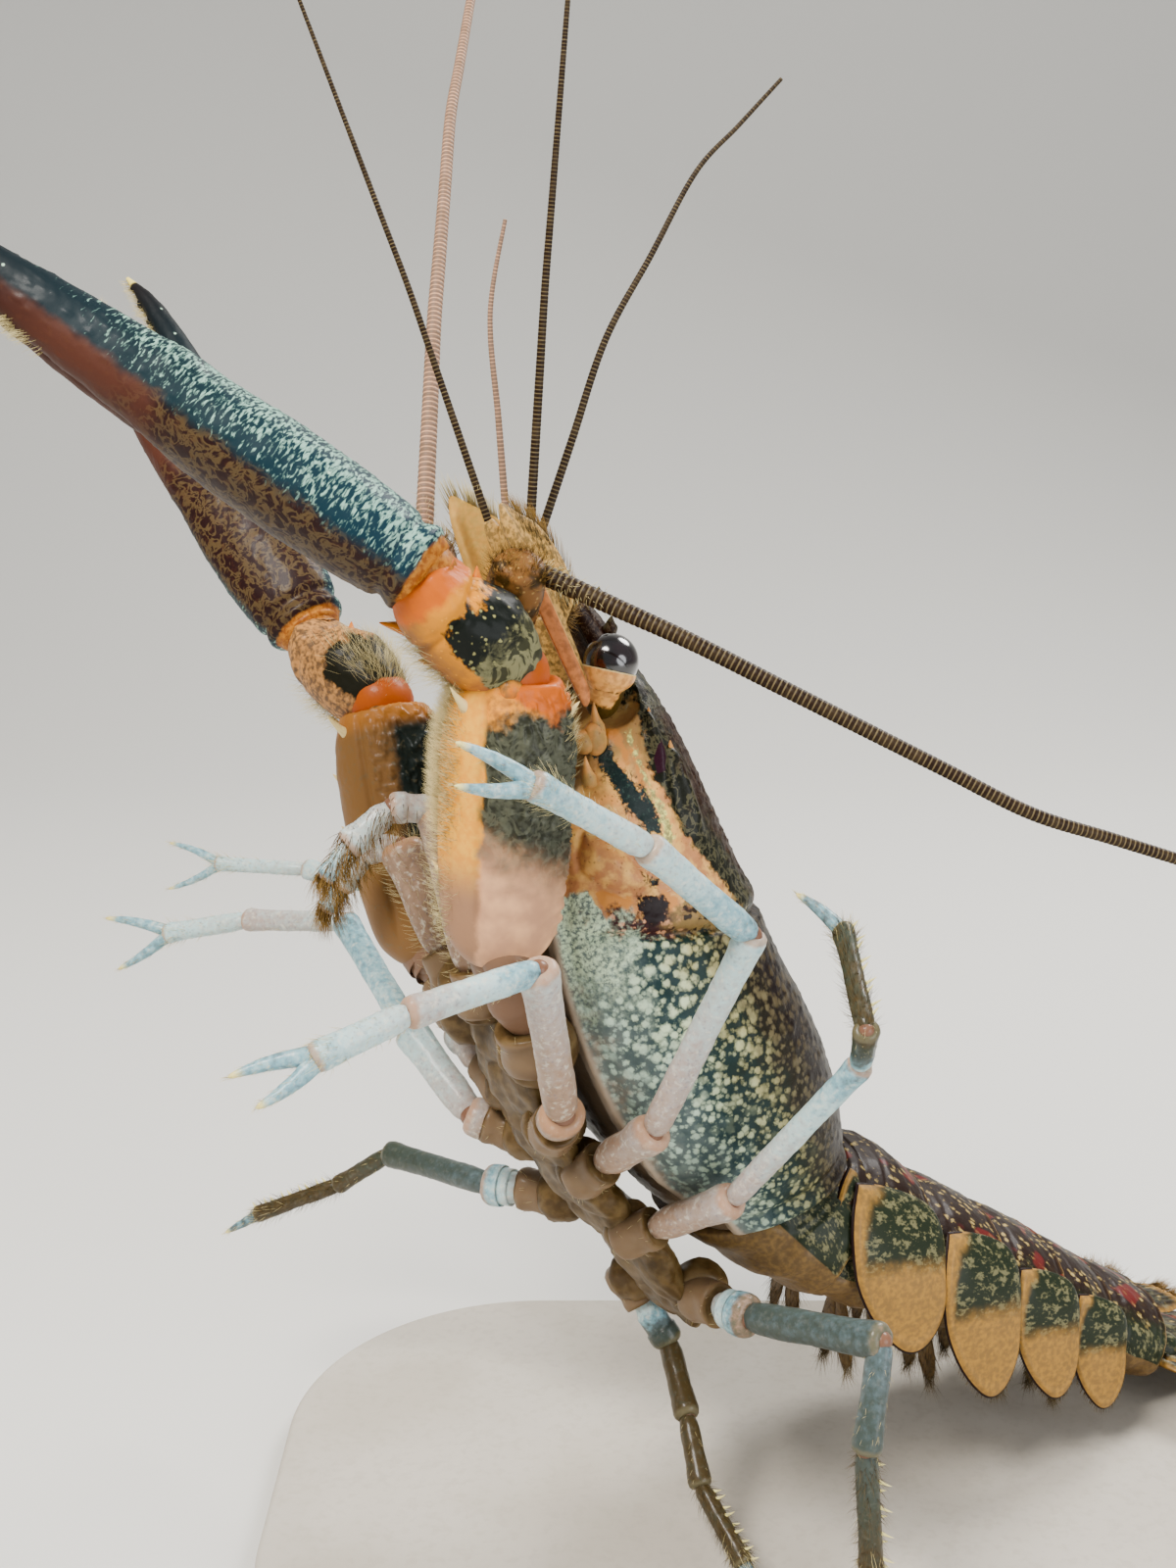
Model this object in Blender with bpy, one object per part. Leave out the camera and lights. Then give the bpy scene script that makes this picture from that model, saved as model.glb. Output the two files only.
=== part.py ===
# Life-size museum model of a freshwater crayfish of the genus Cherax, reared up on its tail and
# hindmost legs with both claws raised. The live animal would lean on an upright surface, so the
# still model stands on a plain flat base. Lengths are in millimetres and become metres in MM.
# Body frame: S runs forward along the carapace, UP is toward the back, LEFT is the animal's left.
import math

import bmesh
import bpy
from mathutils import Vector

MM = 0.001
GAP = 0.3

# Stand
BASE_LENGTH = 132.0
BASE_WIDTH = 84.0
BASE_THICK = 4.0
BASE_CORNER = 30.0
BASE_BEVEL = 0.8
BASE_CENTRE = (0.0, 0.0)

# Carapace: its place over the base and its lean
BODY_REAR = (-16.2, -0.1, 39.6)
LEAN_AZIMUTH = -163
LEAN_ELEVATION = 72
BACK_AZIMUTH = 24
GROOVE_S = 36.0
GROOVE_SLOPE = -0.35
CARAPACE_SIDES = 32
ROSTRUM_TIP_S = 71.6

# Stations along the carapace: S, half width, back height, belly height
THORAX_FORM = [
    (0.0, 11.4, 14.4, -4.0), (3.0, 12.9, 15.2, -6.5), (8.0, 14.3, 15.9, -9.0), (15.0, 15.3, 16.0, -11.5),
    (22.0, 15.5, 15.3, -12.8), (29.0, 14.8, 14.2, -13.0), (35.7, 13.7, 13.6, -11.9),
]
HEAD_FORM = [
    (36.4, 13.5, 13.5, -11.7), (44.0, 12.2, 12.4, -9.0), (50.0, 10.8, 11.6, -6.0), (55.0, 8.9, 10.7, -2.0),
    (58.5, 6.2, 9.7, 2.6),
]
ROSTRUM_FORM = [(61.0, 4.4, 9.0, 4.4), (66.0, 3.3, 7.4, 4.0), (69.5, 2.2, 5.8, 3.7), (71.6, 0.7, 4.6, 3.7)]
# Edge of the gill cover: how far round it lies, and how far the belly side is set in from it
RIM_TURN = -38
RIM_STEP = 0.9
# Raised ridges behind each eye: from and to along the head, and how far round from the side
HEAD_RIDGES = [(57.2, 48.6, 14), (53.6, 43.6, 27)]
RIDGE_RADIUS = 1.1
# Lobe and spines on the front edge below each eye, and teeth along the rostrum
FRONT_LOBE = (56.4, 0.6, 7.4)
FRONT_LOBE_RADIUS = 2.1
FRONT_SPINES = [(57.6, 1.2, 7.6, 2.6), (53.6, -1.8, 9.0, 2.4)]
ROSTRUM_TEETH = [(62.4, 4.2), (65.6, 3.6), (68.6, 2.7)]
STERNUM_FORM = [
    (58.0, 4.0, -2.6, -5.5), (52.0, 6.5, -6.4, -9.5), (44.0, 7.5, -11.4, -13.6), (37.0, 7.5, -13.6, -16.2),
    (30.0, 8.0, -13.8, -18.5), (22.0, 8.5, -13.4, -18.5), (15.0, 9.0, -12.2, -17.5), (8.0, 9.0, -9.9, -15.6),
    (2.0, 9.0, -7.6, -12.8), (-4.0, 9.0, -7.2, -11.6), (-8.0, 8.0, -6.8, -10.0), (-10.5, 5.5, -6.6, -8.4),
]

# Walking legs: hip (S, UP, LEFT), then each length with its azimuth and elevation in whole degrees
COXA_LENGTH = 4.0
LEG_SIDES = 12
KNEE = 0.8
TIP_RADIUS = 0.28
LEGS = {
    "left_2": dict(hip=(20.1, -16.6, 7.0), radii=(2.3, 1.9, 1.5, 1.45),
                   lengths=[(8.2, -80, 34), (20.6, -102, 62), (13.5, -145, -5), (9.0, -154, -17)],
                   fingers=[(7.5, -169, -9), (6.5, -148, -31)]),
    "left_3": dict(hip=(14.1, -15.4, 7.5), radii=(2.1, 1.55, 1.5, 1.35),
                   lengths=[(12.5, -44, 39), (25.0, -38, 64), (15.5, -146, 41), (14.0, -146, 32)],
                   fingers=[(7.5, -170, 31), (7.0, -156, 5)]),
    "left_4": dict(hip=(5.2, -13.0, 7.5), radii=(2.0, 1.4, 1.25, 1.1),
                   lengths=[(14.0, -31, 31), (22.5, -36, 52), (8.0, -94, 45), (12.5, 95, 29)],
                   fingers=[(6.0, 139, 24)], spines=(-6, 12)),
    "left_5": dict(hip=(-5.0, -8.0, 8.0), radii=(2.2, 1.8, 1.5, 1.3),
                   lengths=[(8.5, -55, 10), (17.0, -44, 13), (10.5, -118, -72), (15.0, 60, -80)],
                   fingers=[(7.0, 60, -66)], stands=True, spines=(0, 8)),
    "right_2": dict(hip=(20.1, -16.6, -7.0), radii=(2.1, 1.7, 1.2, 0.9),
                    lengths=[(10.0, 121, 19), (20.0, 123, 38), (12.0, 153, 4), (11.5, 165, -1)],
                    fingers=[(7.0, 158, 16), (7.0, 177, -28)]),
    "right_3": dict(hip=(14.1, -16.5, -7.0), radii=(2.1, 1.9, 1.6, 1.35, 1.25),
                    lengths=[(5.5, 171, 18), (12.5, 133, 32), (19.5, 120, 24), (14.0, 155, -7),
                             (11.0, 167, -13)],
                    fingers=[(8.5, 164, 8), (7.5, -169, -35)]),
    "right_4": dict(hip=(5.2, -15.0, -7.5), radii=(2.2, 1.5, 1.1, 1.0),
                    lengths=[(8.0, 155, -4), (17.5, 136, -6), (9.5, 152, -37), (12.0, 165, -26)],
                    fingers=[(5.0, 174, -33)], spines=(70, 60)),
    "right_5": dict(hip=(-7.0, -11.0, -6.0), radii=(1.9, 1.5, 1.3, 1.15),
                    lengths=[(9.0, -24, -52), (9.0, -76, -33), (7.5, -77, -43), (9.5, -61, -27)],
                    fingers=[(5.5, -58, -49)], stands=True, spines=(10, 40)),
}
LEG_SPINES = (0.14, 0.36, 0.6, 0.84)
LEG_SPINE = (1.5, 0.42)

# Claws
CLAWS = {
    "left": dict(hip=(29.6, -16.2, 9.4), lengths=[(13.5, -131, 68), (26.5, -8, 87), (12.5, -155, 50)],
                 hand=(60.0, 170, 33), palm=(6.4, 4.7), width_up=(96, -16), dactyl_side=1, spread=2),
    "right": dict(hip=(30.0, -17.5, -7.5), lengths=[(8.5, 128, 37), (27.0, 122, 69), (14.0, 134, 27)],
                  hand=(57.0, 132, 40), palm=(5.8, 4.3), width_up=(15, 35), dactyl_side=1, spread=5),
}
# Half width and half thickness of the arm from its root to the wrist
ARM_SIZES = [
    (2.8, 2.6), (3.2, 2.8), (4.4, 3.6), (5.3, 4.2), (5.9, 4.6), (6.3, 4.9), (6.3, 5.0), (5.6, 4.6),
    (3.6, 3.3),
]
# Spines of the arm: how far along the long piece, turn round it, length and root radius
ARM_SPINES = [
    (0.9, -45, 2.6, 0.7), (0.93, 25, 2.8, 0.7), (0.72, 10, 1.5, 0.6), (0.5, 5, 1.3, 0.6),
    (0.28, 0, 1.2, 0.55), (0.88, 178, 1.5, 0.6),
]
# Spines of the wrist: how far along, turn, length and root radius
WRIST_SPINES = [(0.72, 8, 2.6, 1.0), (0.44, -4, 1.4, 0.8), (0.76, 150, 1.2, 0.7)]
# Rounded teeth along the cutting edges of the claw: share of the finger's length, and root radius
CLAW_TEETH = [(0.16, 1.1), (0.34, 0.9), (0.52, 0.75), (0.7, 0.6)]
CLAW_SIDES = 16
CLAW_ROOT = 2.8
PALM_SHARE = 0.43
# Share of the hand's length, shares of its half width and half thickness, and its offset from the middle
HAND_FORM = [
    (0.06, 0.82, 0.88, 0.0), (0.17, 0.97, 1.0, 0.0), (0.3, 1.0, 1.0, 0.0), (0.42, 0.95, 0.94, 0.0),
    (0.44, 0.5, 0.9, 0.46), (0.55, 0.44, 0.78, 0.5), (0.68, 0.36, 0.64, 0.52), (0.82, 0.27, 0.47, 0.5),
    (0.93, 0.16, 0.3, 0.38), (1.0, 0.06, 0.1, 0.2),
]
FINGER_FORM = [
    (0.0, 0.32, 0.66, 0.0), (0.08, 0.4, 0.76, 0.02), (0.3, 0.37, 0.68, 0.04), (0.58, 0.29, 0.52, 0.0),
    (0.84, 0.18, 0.32, -0.12), (1.0, 0.06, 0.1, -0.3),
]

# Mouth legs, eyes, feelers
MOUTH_LEGS = {
    "left": dict(hip=(34.5, -18.2, 3.4), radii=(2.2, 1.5, 1.5, 1.1),
                 lengths=[(20.5, 176, 79), (4.5, -168, 5), (5.5, -155, -35), (4.0, -162, -52)]),
    "right": dict(hip=(34.5, -18.2, -3.4), radii=(2.2, 1.5, 1.5, 1.1),
                  lengths=[(15.5, 144, 62), (4.0, 167, -8), (4.5, -161, -53), (3.0, -158, -56)]),
}
EYE_RADIUS = 2.7
EYE_AT = (63.3, 4.4, 8.2)
STALK_FROM = (59.0, 3.2, 5.6)
ORBIT_AT = (60.8, 3.5, 7.4)
ORBIT_RADIUS = 4.4
STALK_RADIUS = 2.2

# Outline of an antenna scale: share of its length, and width inward
SCALE_OUTLINE = [
    (0.0, -0.9), (0.4, -1.1), (0.8, -0.9), (0.94, -0.5), (1.0, 0.2), (0.93, 1.8), (0.8, 4.2), (0.6, 5.2),
    (0.44, 4.2), (0.34, 1.4), (0.08, 0.9),
]
# Thin feelers: root in the body frame and lengths; long feelers in two lengths each
WHIPS = [
    ("antennule_left_outer", (76.0, 1.6, 3.9), [(24.0, 10, 86), (32.0, 8, 85)], 0.5, 0.28),
    ("antennule_left_inner", (76.0, 3.4, 2.4), [(20.0, 20, 70), (18.0, 16, 60), (12.0, 12, 46)], 0.45, 0.26),
    ("antennule_right_outer", (77.8, 1.0, -3.6), [(24.0, 168, 71), (32.0, 168, 69)], 0.42, 0.26),
    ("antennule_right_inner", (77.8, 2.4, -2.4), [(20.0, 172, 86), (9.0, 10, 80)], 0.4, 0.26),
]
LONG_FEELERS = [
    ("left", (75.2, -1.4, 12.2), [(16.0, -15, -22), (34.0, -12, -25)], [(32.0, 2, -18), (32.0, 12, -6)]),
    ("right", (76.0, -4.2, -11.4), [(26.0, 87, 62), (26.0, 85, 58)], [(28.0, 80, 52), (28.0, 74, 42)]),
]

# Tail
ABDOMEN_FROM = (-0.4, 3.9)
# Abdomen segments: length, turn toward the back in degrees, half width, back height, belly depth
ABDOMEN = [
    (8.4, 22, 11.0, 10.4, 9.3), (11.5, 46, 12.4, 13.4, 5.2), (11.5, 49, 12.8, 10.8, 4.8),
    (10.0, 48, 12.2, 9.0, 4.6), (9.0, 45, 11.4, 7.6, 4.4), (9.5, 42, 9.8, 6.2, 4.0),
]
# Share of a segment's length and its swell there; the first one's back rises less toward the next
SEGMENT_SWELL = [(0.0, 0.95), (0.2, 1.0), (0.55, 1.03), (0.85, 1.02), (1.0, 0.97)]
FIRST_RISE = 0.4
# Side flaps of the first five segments: depth, length, sweep to the rear, inset, rise, shift to the rear
PLEURA = [
    (6.4, 3.0, -0.3, 0.2, 7.4, 0.5), (14.0, 10.0, 0.3, -0.3, 7.4, 0.1), (15.0, 9.2, 0.34, 0.0, 5.6, 1.0),
    (12.0, 8.2, 0.36, 0.0, 4.0, 0.9), (10.6, 7.6, 0.36, 0.0, 3.0, 0.6),
]
FLAP_OUTLINE = [
    (-0.34, 0.1), (-0.46, -0.1), (-0.5, -0.35), (-0.42, -0.62), (-0.2, -0.86), (0.1, -1.0), (0.3, -0.9),
    (0.44, -0.65), (0.46, -0.35), (0.4, 0.1),
]
FLAP_CURL = 0.04
PLEURA_THICK = 1.0
TAIL_SIDES = 20
# Swimming legs under segments two to five: length and width of a blade, and how far it lies from the middle
SWIMMERETS = [(7.0, 3.0, 5.2), (6.6, 3.0, 5.0), (6.0, 2.8, 4.6), (5.4, 2.6, 4.2)]
SWIMMERET_THICK = 0.7
TELSON_LENGTH = 19.0
TELSON_WIDTH = 10.5
TELSON_THICK = 2.4
# Share of the telson's length, and of its width
TELSON_FORM = [(0.0, 0.8), (0.15, 1.0), (0.5, 0.94), (0.8, 0.82), (0.95, 0.66), (1.0, 0.4)]
FAN_TURN = 58
# Root of the side blades beside and along the telson, then each blade's turn, length, width and drop
FAN_HUB = (7.4, 2.4)
FAN_BLADES = [(16, 19.0, 8.6, -0.4), (44, 19.5, 9.4, -0.9)]
BLADE_FORM = [(0.0, 0.35), (0.2, 0.66), (0.5, 0.96), (0.75, 1.0), (0.92, 0.8), (1.0, 0.45)]
BLADE_THICK = 1.3


def heading(azimuth, elevation):
    """Unit direction from whole degrees."""
    a, e = math.radians(azimuth), math.radians(elevation)
    return Vector((math.cos(e) * math.cos(a), math.cos(e) * math.sin(a), math.sin(e)))


FORE = heading(LEAN_AZIMUTH, LEAN_ELEVATION)
BACK = heading(BACK_AZIMUTH, 0)
BACK = (BACK - BACK.dot(FORE) * FORE).normalized()
LEFT = BACK.cross(FORE)
REAR = Vector(BODY_REAR)
VIEW_SIDE = heading(90, 14)


def body(s, up, left):
    """Place in the body frame."""
    return REAR + s * FORE + up * BACK + left * LEFT


def material(name, colour, rough, metallic=0.0):
    """Principled material of one colour."""
    mat = bpy.data.materials.new(name)
    mat.use_nodes = True
    shader = mat.node_tree.nodes["Principled BSDF"]
    shader.inputs["Base Color"].default_value = (*colour, 1)
    shader.inputs["Roughness"].default_value = rough
    shader.inputs["Metallic"].default_value = metallic
    return mat


def solid(name, rings, at, mat=None):
    """Closed surface over rings of equal count, with flat ends."""
    count = len(rings[0])
    bm = bmesh.new()
    rows = [[bm.verts.new((p - at) * MM) for p in ring] for ring in rings]
    for one, two in zip(rows, rows[1:]):
        for i in range(count):
            j = (i + 1) % count
            bm.faces.new((one[i], one[j], two[j], two[i]))
    bm.faces.new(rows[0])
    bm.faces.new(rows[-1])
    bmesh.ops.recalc_face_normals(bm, faces=bm.faces)
    mesh = bpy.data.meshes.new(name)
    bm.to_mesh(mesh)
    bm.free()
    mesh.polygons.foreach_set("use_smooth", [True] * len(mesh.polygons))
    obj = bpy.data.objects.new(name, mesh)
    obj.location = at * MM
    bpy.context.collection.objects.link(obj)
    if mat:
        mesh.materials.append(mat)
    return obj


def oval(centre, side, up, half_side, half_up, count, square=1.0):
    """Ring of points round a centre; square under 1 fills the corners."""
    ring = []
    for i in range(count):
        t = 2 * math.pi * (i + 0.5) / count
        c, s = math.cos(t), math.sin(t)
        x = half_side * math.copysign(abs(c) ** square, c)
        y = half_up * math.copysign(abs(s) ** square, s)
        ring.append(centre + side * x + up * y)
    return ring


def tube(name, path, sizes, up, count, at, mat, square=1.0, first=None, last=None):
    """Limb swept through a path; each size is a half width and a half thickness.

    first and last give the ways that the two end faces look along."""
    rings = []
    for i, p in enumerate(path):
        before = path[max(i - 1, 0)]
        after = path[min(i + 1, len(path) - 1)]
        along = (after - before).normalized()
        if first and i == 0:
            along = first
        if last and i == len(path) - 1:
            along = last
        side = along.cross(up).normalized()
        rings.append(oval(p, side, side.cross(along), sizes[i][0], sizes[i][1], count, square))
    return solid(name, rings, at, mat)


def join(target, parts, solver="EXACT"):
    """Boolean union of all parts into the target, keeping its largest closed surface."""
    group = bpy.data.collections.new(target.name + "_parts")
    for part in parts:
        group.objects.link(part)
    mod = target.modifiers.new("union", "BOOLEAN")
    mod.operation = "UNION"
    mod.solver = solver
    mod.operand_type = "COLLECTION"
    mod.collection = group
    bake(target)
    for part in parts:
        bpy.data.objects.remove(part)
    bpy.data.collections.remove(group)
    return target


def cut(target, cutter):
    """Boolean difference."""
    mod = target.modifiers.new("cut", "BOOLEAN")
    mod.operation = "DIFFERENCE"
    mod.solver = "EXACT"
    mod.object = cutter
    bake(target)
    bpy.data.objects.remove(cutter)


def ball(centre, radius, count):
    """Ball of rings with small flat ends."""
    rings = []
    steps = count // 2 + 1
    for k in range(steps):
        t = math.pi * (k + 0.5) / steps
        r = radius * math.sin(t)
        rings.append(oval(centre + BACK * radius * math.cos(t), LEFT, FORE, r, r, count))
    return solid("ball", rings, centre)


def bake(obj):
    """Apply every modifier and keep the largest closed surface."""
    graph = bpy.context.evaluated_depsgraph_get()
    mesh = bpy.data.meshes.new_from_object(obj.evaluated_get(graph))
    obj.modifiers.clear()
    old = obj.data
    obj.data = mesh
    bpy.data.meshes.remove(old)
    bm = bmesh.new()
    bm.from_mesh(mesh)
    seen, islands = set(), []
    for seed in bm.faces:
        if seed in seen:
            continue
        island, front = [], [seed]
        seen.add(seed)
        while front:
            face = front.pop()
            island.append(face)
            for edge in face.edges:
                for other in edge.link_faces:
                    if other not in seen:
                        seen.add(other)
                        front.append(other)
        islands.append(island)
    islands.sort(key=len)
    for island in islands[:-1]:
        bmesh.ops.delete(bm, geom=island, context="FACES")
    bm.to_mesh(mesh)
    bm.free()


def limb_path(start, segments, radii, skip, ends=True):
    """Points and sizes of a limb with a waist at every joint, starting a little way along."""
    path, sizes = [], []
    p = start
    for i, ((length, azimuth, elevation), radius) in enumerate(zip(segments, radii)):
        along = heading(azimuth, elevation)
        first = skip if i == 0 else 0.0
        nxt = radii[i + 1] if i + 1 < len(radii) else radius * 0.85
        for part, wide in ((0.0, 0.8), (0.16, 0.94), (0.5, 0.92), (0.86, 1.06)):
            if i and part == 0.0:
                continue
            path.append(p + along * (first + (length - first) * part))
            sizes.append((radius * wide, radius * wide))
        p = p + along * length
        if i + 1 < len(segments):
            path.append(p.copy())
            sizes.append((nxt * 0.86, nxt * 0.86))
    path.append(p.copy())
    sizes.append((radii[len(segments) - 1] * 0.84, radii[len(segments) - 1] * 0.84))
    return path, sizes, p


def thorn(at, along, length, radius, count=5):
    """Small blunt spine with its root sunk in."""
    side, up = frame(along)
    rings = [oval(at - along * radius * 1.2, side, up, radius, radius, count),
             oval(at + along * length, side, up, radius * 0.3, radius * 0.3, count)]
    return solid("thorn", rings, at)


def cross_up(along):
    """Some direction that is well off the given one."""
    return Vector((0, 0, 1)) if abs(along.z) < 0.8 else Vector((1, 0, 0))


def shell_ring(s, half, top, low, slope):
    """Ring of the carapace: an arch over a flatter, narrower belly side."""
    ring = []
    for i in range(CARAPACE_SIDES):
        u, x = shell_point(2 * math.pi * (i + 0.5) / CARAPACE_SIDES, half, top, low)
        ring.append(body(s + slope * (u - 2.0), u, x))
    return ring


def shell_point(turn, half, top, low):
    """Height and side of one point of that ring; the belly side steps in below the rim."""
    middle = low + 0.52 * (top - low)
    c, k = math.cos(turn), math.sin(turn)
    if k >= 0:
        return middle + (top - middle) * k ** 0.94, half * math.copysign(abs(c) ** 0.94, c)
    step = min(RIM_STEP, 0.08 * half) if k < math.sin(math.radians(RIM_TURN)) else 0.0
    x = max(0.1 * half * abs(c), half * abs(c) ** 0.72 - step)
    return middle - (middle - low) * (-k) ** 0.8 + step * 0.5, math.copysign(x, c)


def on_head(s, turn, sign):
    """Place on the head's surface and the way out of it."""
    for one, two in zip(HEAD_FORM, HEAD_FORM[1:]):
        if s <= two[0]:
            break
    part = (s - one[0]) / (two[0] - one[0])
    half, top, low = [a + (b - a) * part for a, b in zip(one[1:], two[1:])]
    t = math.radians(turn)
    u, x = shell_point(t, half, top, low)
    slope = GROOVE_SLOPE * (HEAD_FORM[-1][0] - s) / (HEAD_FORM[-1][0] - GROOVE_S)
    out = (LEFT * sign * math.cos(t) + BACK * math.sin(t)).normalized()
    return body(s + slope * (u - 2.0), u, x * sign), out


def between(form, steps):
    """Stations filled in smoothly between the named ones."""
    full = []
    for i in range(len(form) - 1):
        a, b = form[i], form[i + 1]
        before = form[i - 1] if i else a
        after = form[i + 2] if i + 2 < len(form) else b
        for k in range(steps):
            t = k / steps
            row = []
            for p0, p1, p2, p3 in zip(before, a, b, after):
                row.append(0.5 * (2 * p1 + (p2 - p0) * t + (2 * p0 - 5 * p1 + 4 * p2 - p3) * t * t
                                  + (3 * p1 - p0 - 3 * p2 + p3) * t ** 3))
            full.append(row)
    full.append(form[-1])
    return full


def build_carapace(mats):
    rows = between(THORAX_FORM, 2)
    rings = [shell_ring(s, w, t, b, GROOVE_SLOPE * (s / GROOVE_S) ** 2) for s, w, t, b in rows]
    solid("carapace_thorax", rings, body(0, 0, 0), mats["shell_speckled"])
    rows = between(HEAD_FORM + ROSTRUM_FORM, 2)
    rings = []
    for s, w, t, b in rows:
        slope = GROOVE_SLOPE * max(0.0, (HEAD_FORM[-1][0] - s) / (HEAD_FORM[-1][0] - GROOVE_S))
        rings.append(shell_ring(s, w, t, b, slope))
    head = solid("carapace_head", rings, body(GROOVE_S, 0, 0), mats["shell_head"])
    forms = []
    for sign in (1, -1):
        cut(head, ball(body(ORBIT_AT[0], ORBIT_AT[1], ORBIT_AT[2] * sign), ORBIT_RADIUS, 12))
        for front, back, turn in HEAD_RIDGES:
            forms.append(head_ridge(front, back, turn, sign))
        s, up, left = FRONT_LOBE
        forms.append(ball(body(s, up, left * sign), FRONT_LOBE_RADIUS, 8))
        for s, up, left, length in FRONT_SPINES:
            way = (FORE + LEFT * sign * 0.1).normalized()
            forms.append(thorn(body(s, up, left * sign), way, length, 0.8))
        for s, left in ROSTRUM_TEETH:
            way = (FORE * 0.8 + LEFT * sign * 0.5).normalized()
            forms.append(thorn(body(s, 7.2, left * sign) - way * 0.5, way, 1.6, 0.8))
    join(head, forms)


def head_ridge(front, back, turn, sign):
    """Low keel that starts in a small point."""
    path, sizes = [], []
    for part, size in ((0.0, 0.25), (0.22, 0.9), (0.55, 1.0), (0.85, 0.7), (1.0, 0.3)):
        place, out = on_head(front + (back - front) * part, turn, sign)
        path.append(place - out * RIDGE_RADIUS * (0.35 if part < 0.9 else 0.8))
        sizes.append((RIDGE_RADIUS * size, RIDGE_RADIUS * size))
    return tube("ridge", path, sizes, on_head((front + back) / 2, turn, sign)[1], 6, path[0], None)


def build_sternum(mats):
    rings = []
    for s, w, t, b in STERNUM_FORM:
        rings.append(oval(body(s, (t + b) / 2, 0), LEFT, BACK, w, (t - b) / 2, 16, 0.8))
    core = solid("sternum", rings, body(0, -14, 0), mats["joint_skin"])
    stubs = []
    for name, leg in list(LEGS.items()) + list(CLAWS.items()) + list(MOUTH_LEGS.items()):
        hip = body(*leg["hip"])
        length, azimuth, elevation = leg["lengths"][0]
        along = heading(azimuth, elevation)
        radius = leg["radii"][0] if "radii" in leg else CLAW_ROOT
        sizes = [(radius * 1.1, radius * 1.1), (radius, radius)]
        stubs.append(tube("stub", [hip, hip + along * COXA_LENGTH], sizes, cross_up(along), 9, hip, None))
    join(core, stubs)


def build_legs(mats):
    for name, leg in LEGS.items():
        side, number = name.split("_")
        hip = body(*leg["hip"])
        lengths, radii = leg["lengths"], leg["radii"]
        split = len(lengths) - 2
        path, sizes, knee = limb_path(hip, lengths[:split], radii[:split], COXA_LENGTH + GAP)
        before, after = heading(*lengths[split - 1][1:]), heading(*lengths[split][1:])
        fold = (before + after).normalized()
        up = before.cross(after).normalized()
        path[-1] = knee - fold * GAP / 2
        sizes[-1] = (radii[split] * KNEE, radii[split] * KNEE)
        tube(f"leg_{side}_{number}_upper", path, sizes, off_axis(path, up), LEG_SIDES, path[0],
             mats["leg_shell"], last=fold)
        path, sizes, end = limb_path(knee, lengths[split:], radii[split:], 0.0)
        path[0] = knee + fold * GAP / 2
        sizes[0] = (radii[split] * KNEE, radii[split] * KNEE)
        lower = tube(f"leg_{side}_{number}_lower", path, sizes, off_axis(path, up), LEG_SIDES, path[0],
                     mats["leg_shell"], first=fold)
        parts = []
        radius = radii[-1]
        palm = heading(*lengths[-1][1:])
        for length, azimuth, elevation in leg["fingers"]:
            way = heading(azimuth, elevation)
            count = len(leg["fingers"])
            if leg.get("stands"):
                length = (end.z - BASE_THICK - GAP - TIP_RADIUS) / -way.z
            root = end - palm * radius * 0.9
            thick = radius * (0.62 if count == 2 else 0.8)
            path = [root, root + way * (length * 0.5 + radius * 0.9), end + way * length]
            sizes = [(thick, thick), (thick * 0.75, thick * 0.75), (TIP_RADIUS, TIP_RADIUS)]
            parts.append(tube("finger", path, sizes, cross_up(way), 8, root, None))
        if "spines" in leg:
            way = heading(*leg["spines"])
            way = (way - way.dot(palm) * palm + palm * 0.5).normalized()
            length, radius_root = LEG_SPINE
            for part in LEG_SPINES:
                place = end - palm * lengths[-1][0] * (1 - part)
                parts.append(thorn(place + way * radius * 0.7, way, length, radius_root))
        join(lower, parts)


def off_axis(path, up):
    """The wished side direction, or another where a length runs along it."""
    for a, b in zip(path, path[1:]):
        if abs((b - a).normalized().dot(up)) > 0.9:
            return cross_up((b - a).normalized())
    return up


def build_claws(mats):
    for side, claw in CLAWS.items():
        hip = body(*claw["hip"])
        lengths = claw["lengths"]
        ischium, merus, carpus = [heading(*one[1:]) for one in lengths]
        hand = heading(*claw["hand"][1:])
        elbow = hip + ischium * lengths[0][0]
        wrist_in = elbow + merus * lengths[1][0]
        wrist_out = wrist_in + carpus * lengths[2][0]
        start = hip + ischium * (COXA_LENGTH + GAP)
        fold = (merus + carpus).normalized()
        turn = (carpus + hand).normalized()
        path = [start, elbow - ischium * 2.4, elbow]
        path += [elbow + merus * reach for reach in (1.6, 6.0, 13.0, 19.0)]
        path += [wrist_in - merus * 3.4, wrist_in - fold * GAP / 2]
        arm = tube(f"claw_{side}_arm", path, ARM_SIZES, VIEW_SIDE, CLAW_SIDES, start, mats["claw_shell"],
                   last=fold)
        thorns = [edge_thorn(elbow, merus, lengths[1][0], (6.0, 4.7), spine) for spine in ARM_SPINES]
        join(arm, thorns)
        start = wrist_in + fold * GAP / 2
        path = [start, wrist_in + carpus * 3.6, wrist_in + carpus * 7.4, wrist_out - carpus * 3.0,
                wrist_out - turn * GAP / 2]
        sizes = [(3.6, 3.3), (4.7, 4.4), (5.0, 4.8), (4.7, 4.5), (3.6, 3.4)]
        wrist = tube(f"claw_{side}_wrist", path, sizes, VIEW_SIDE, CLAW_SIDES, start, mats["claw_joint"],
                     first=fold, last=turn)
        thorns = [edge_thorn(wrist_in, carpus, lengths[2][0], (4.8, 4.6), spine) for spine in WRIST_SPINES]
        join(wrist, thorns)
        build_hand(side, claw, wrist_out + turn * GAP / 2, turn, mats)


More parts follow.
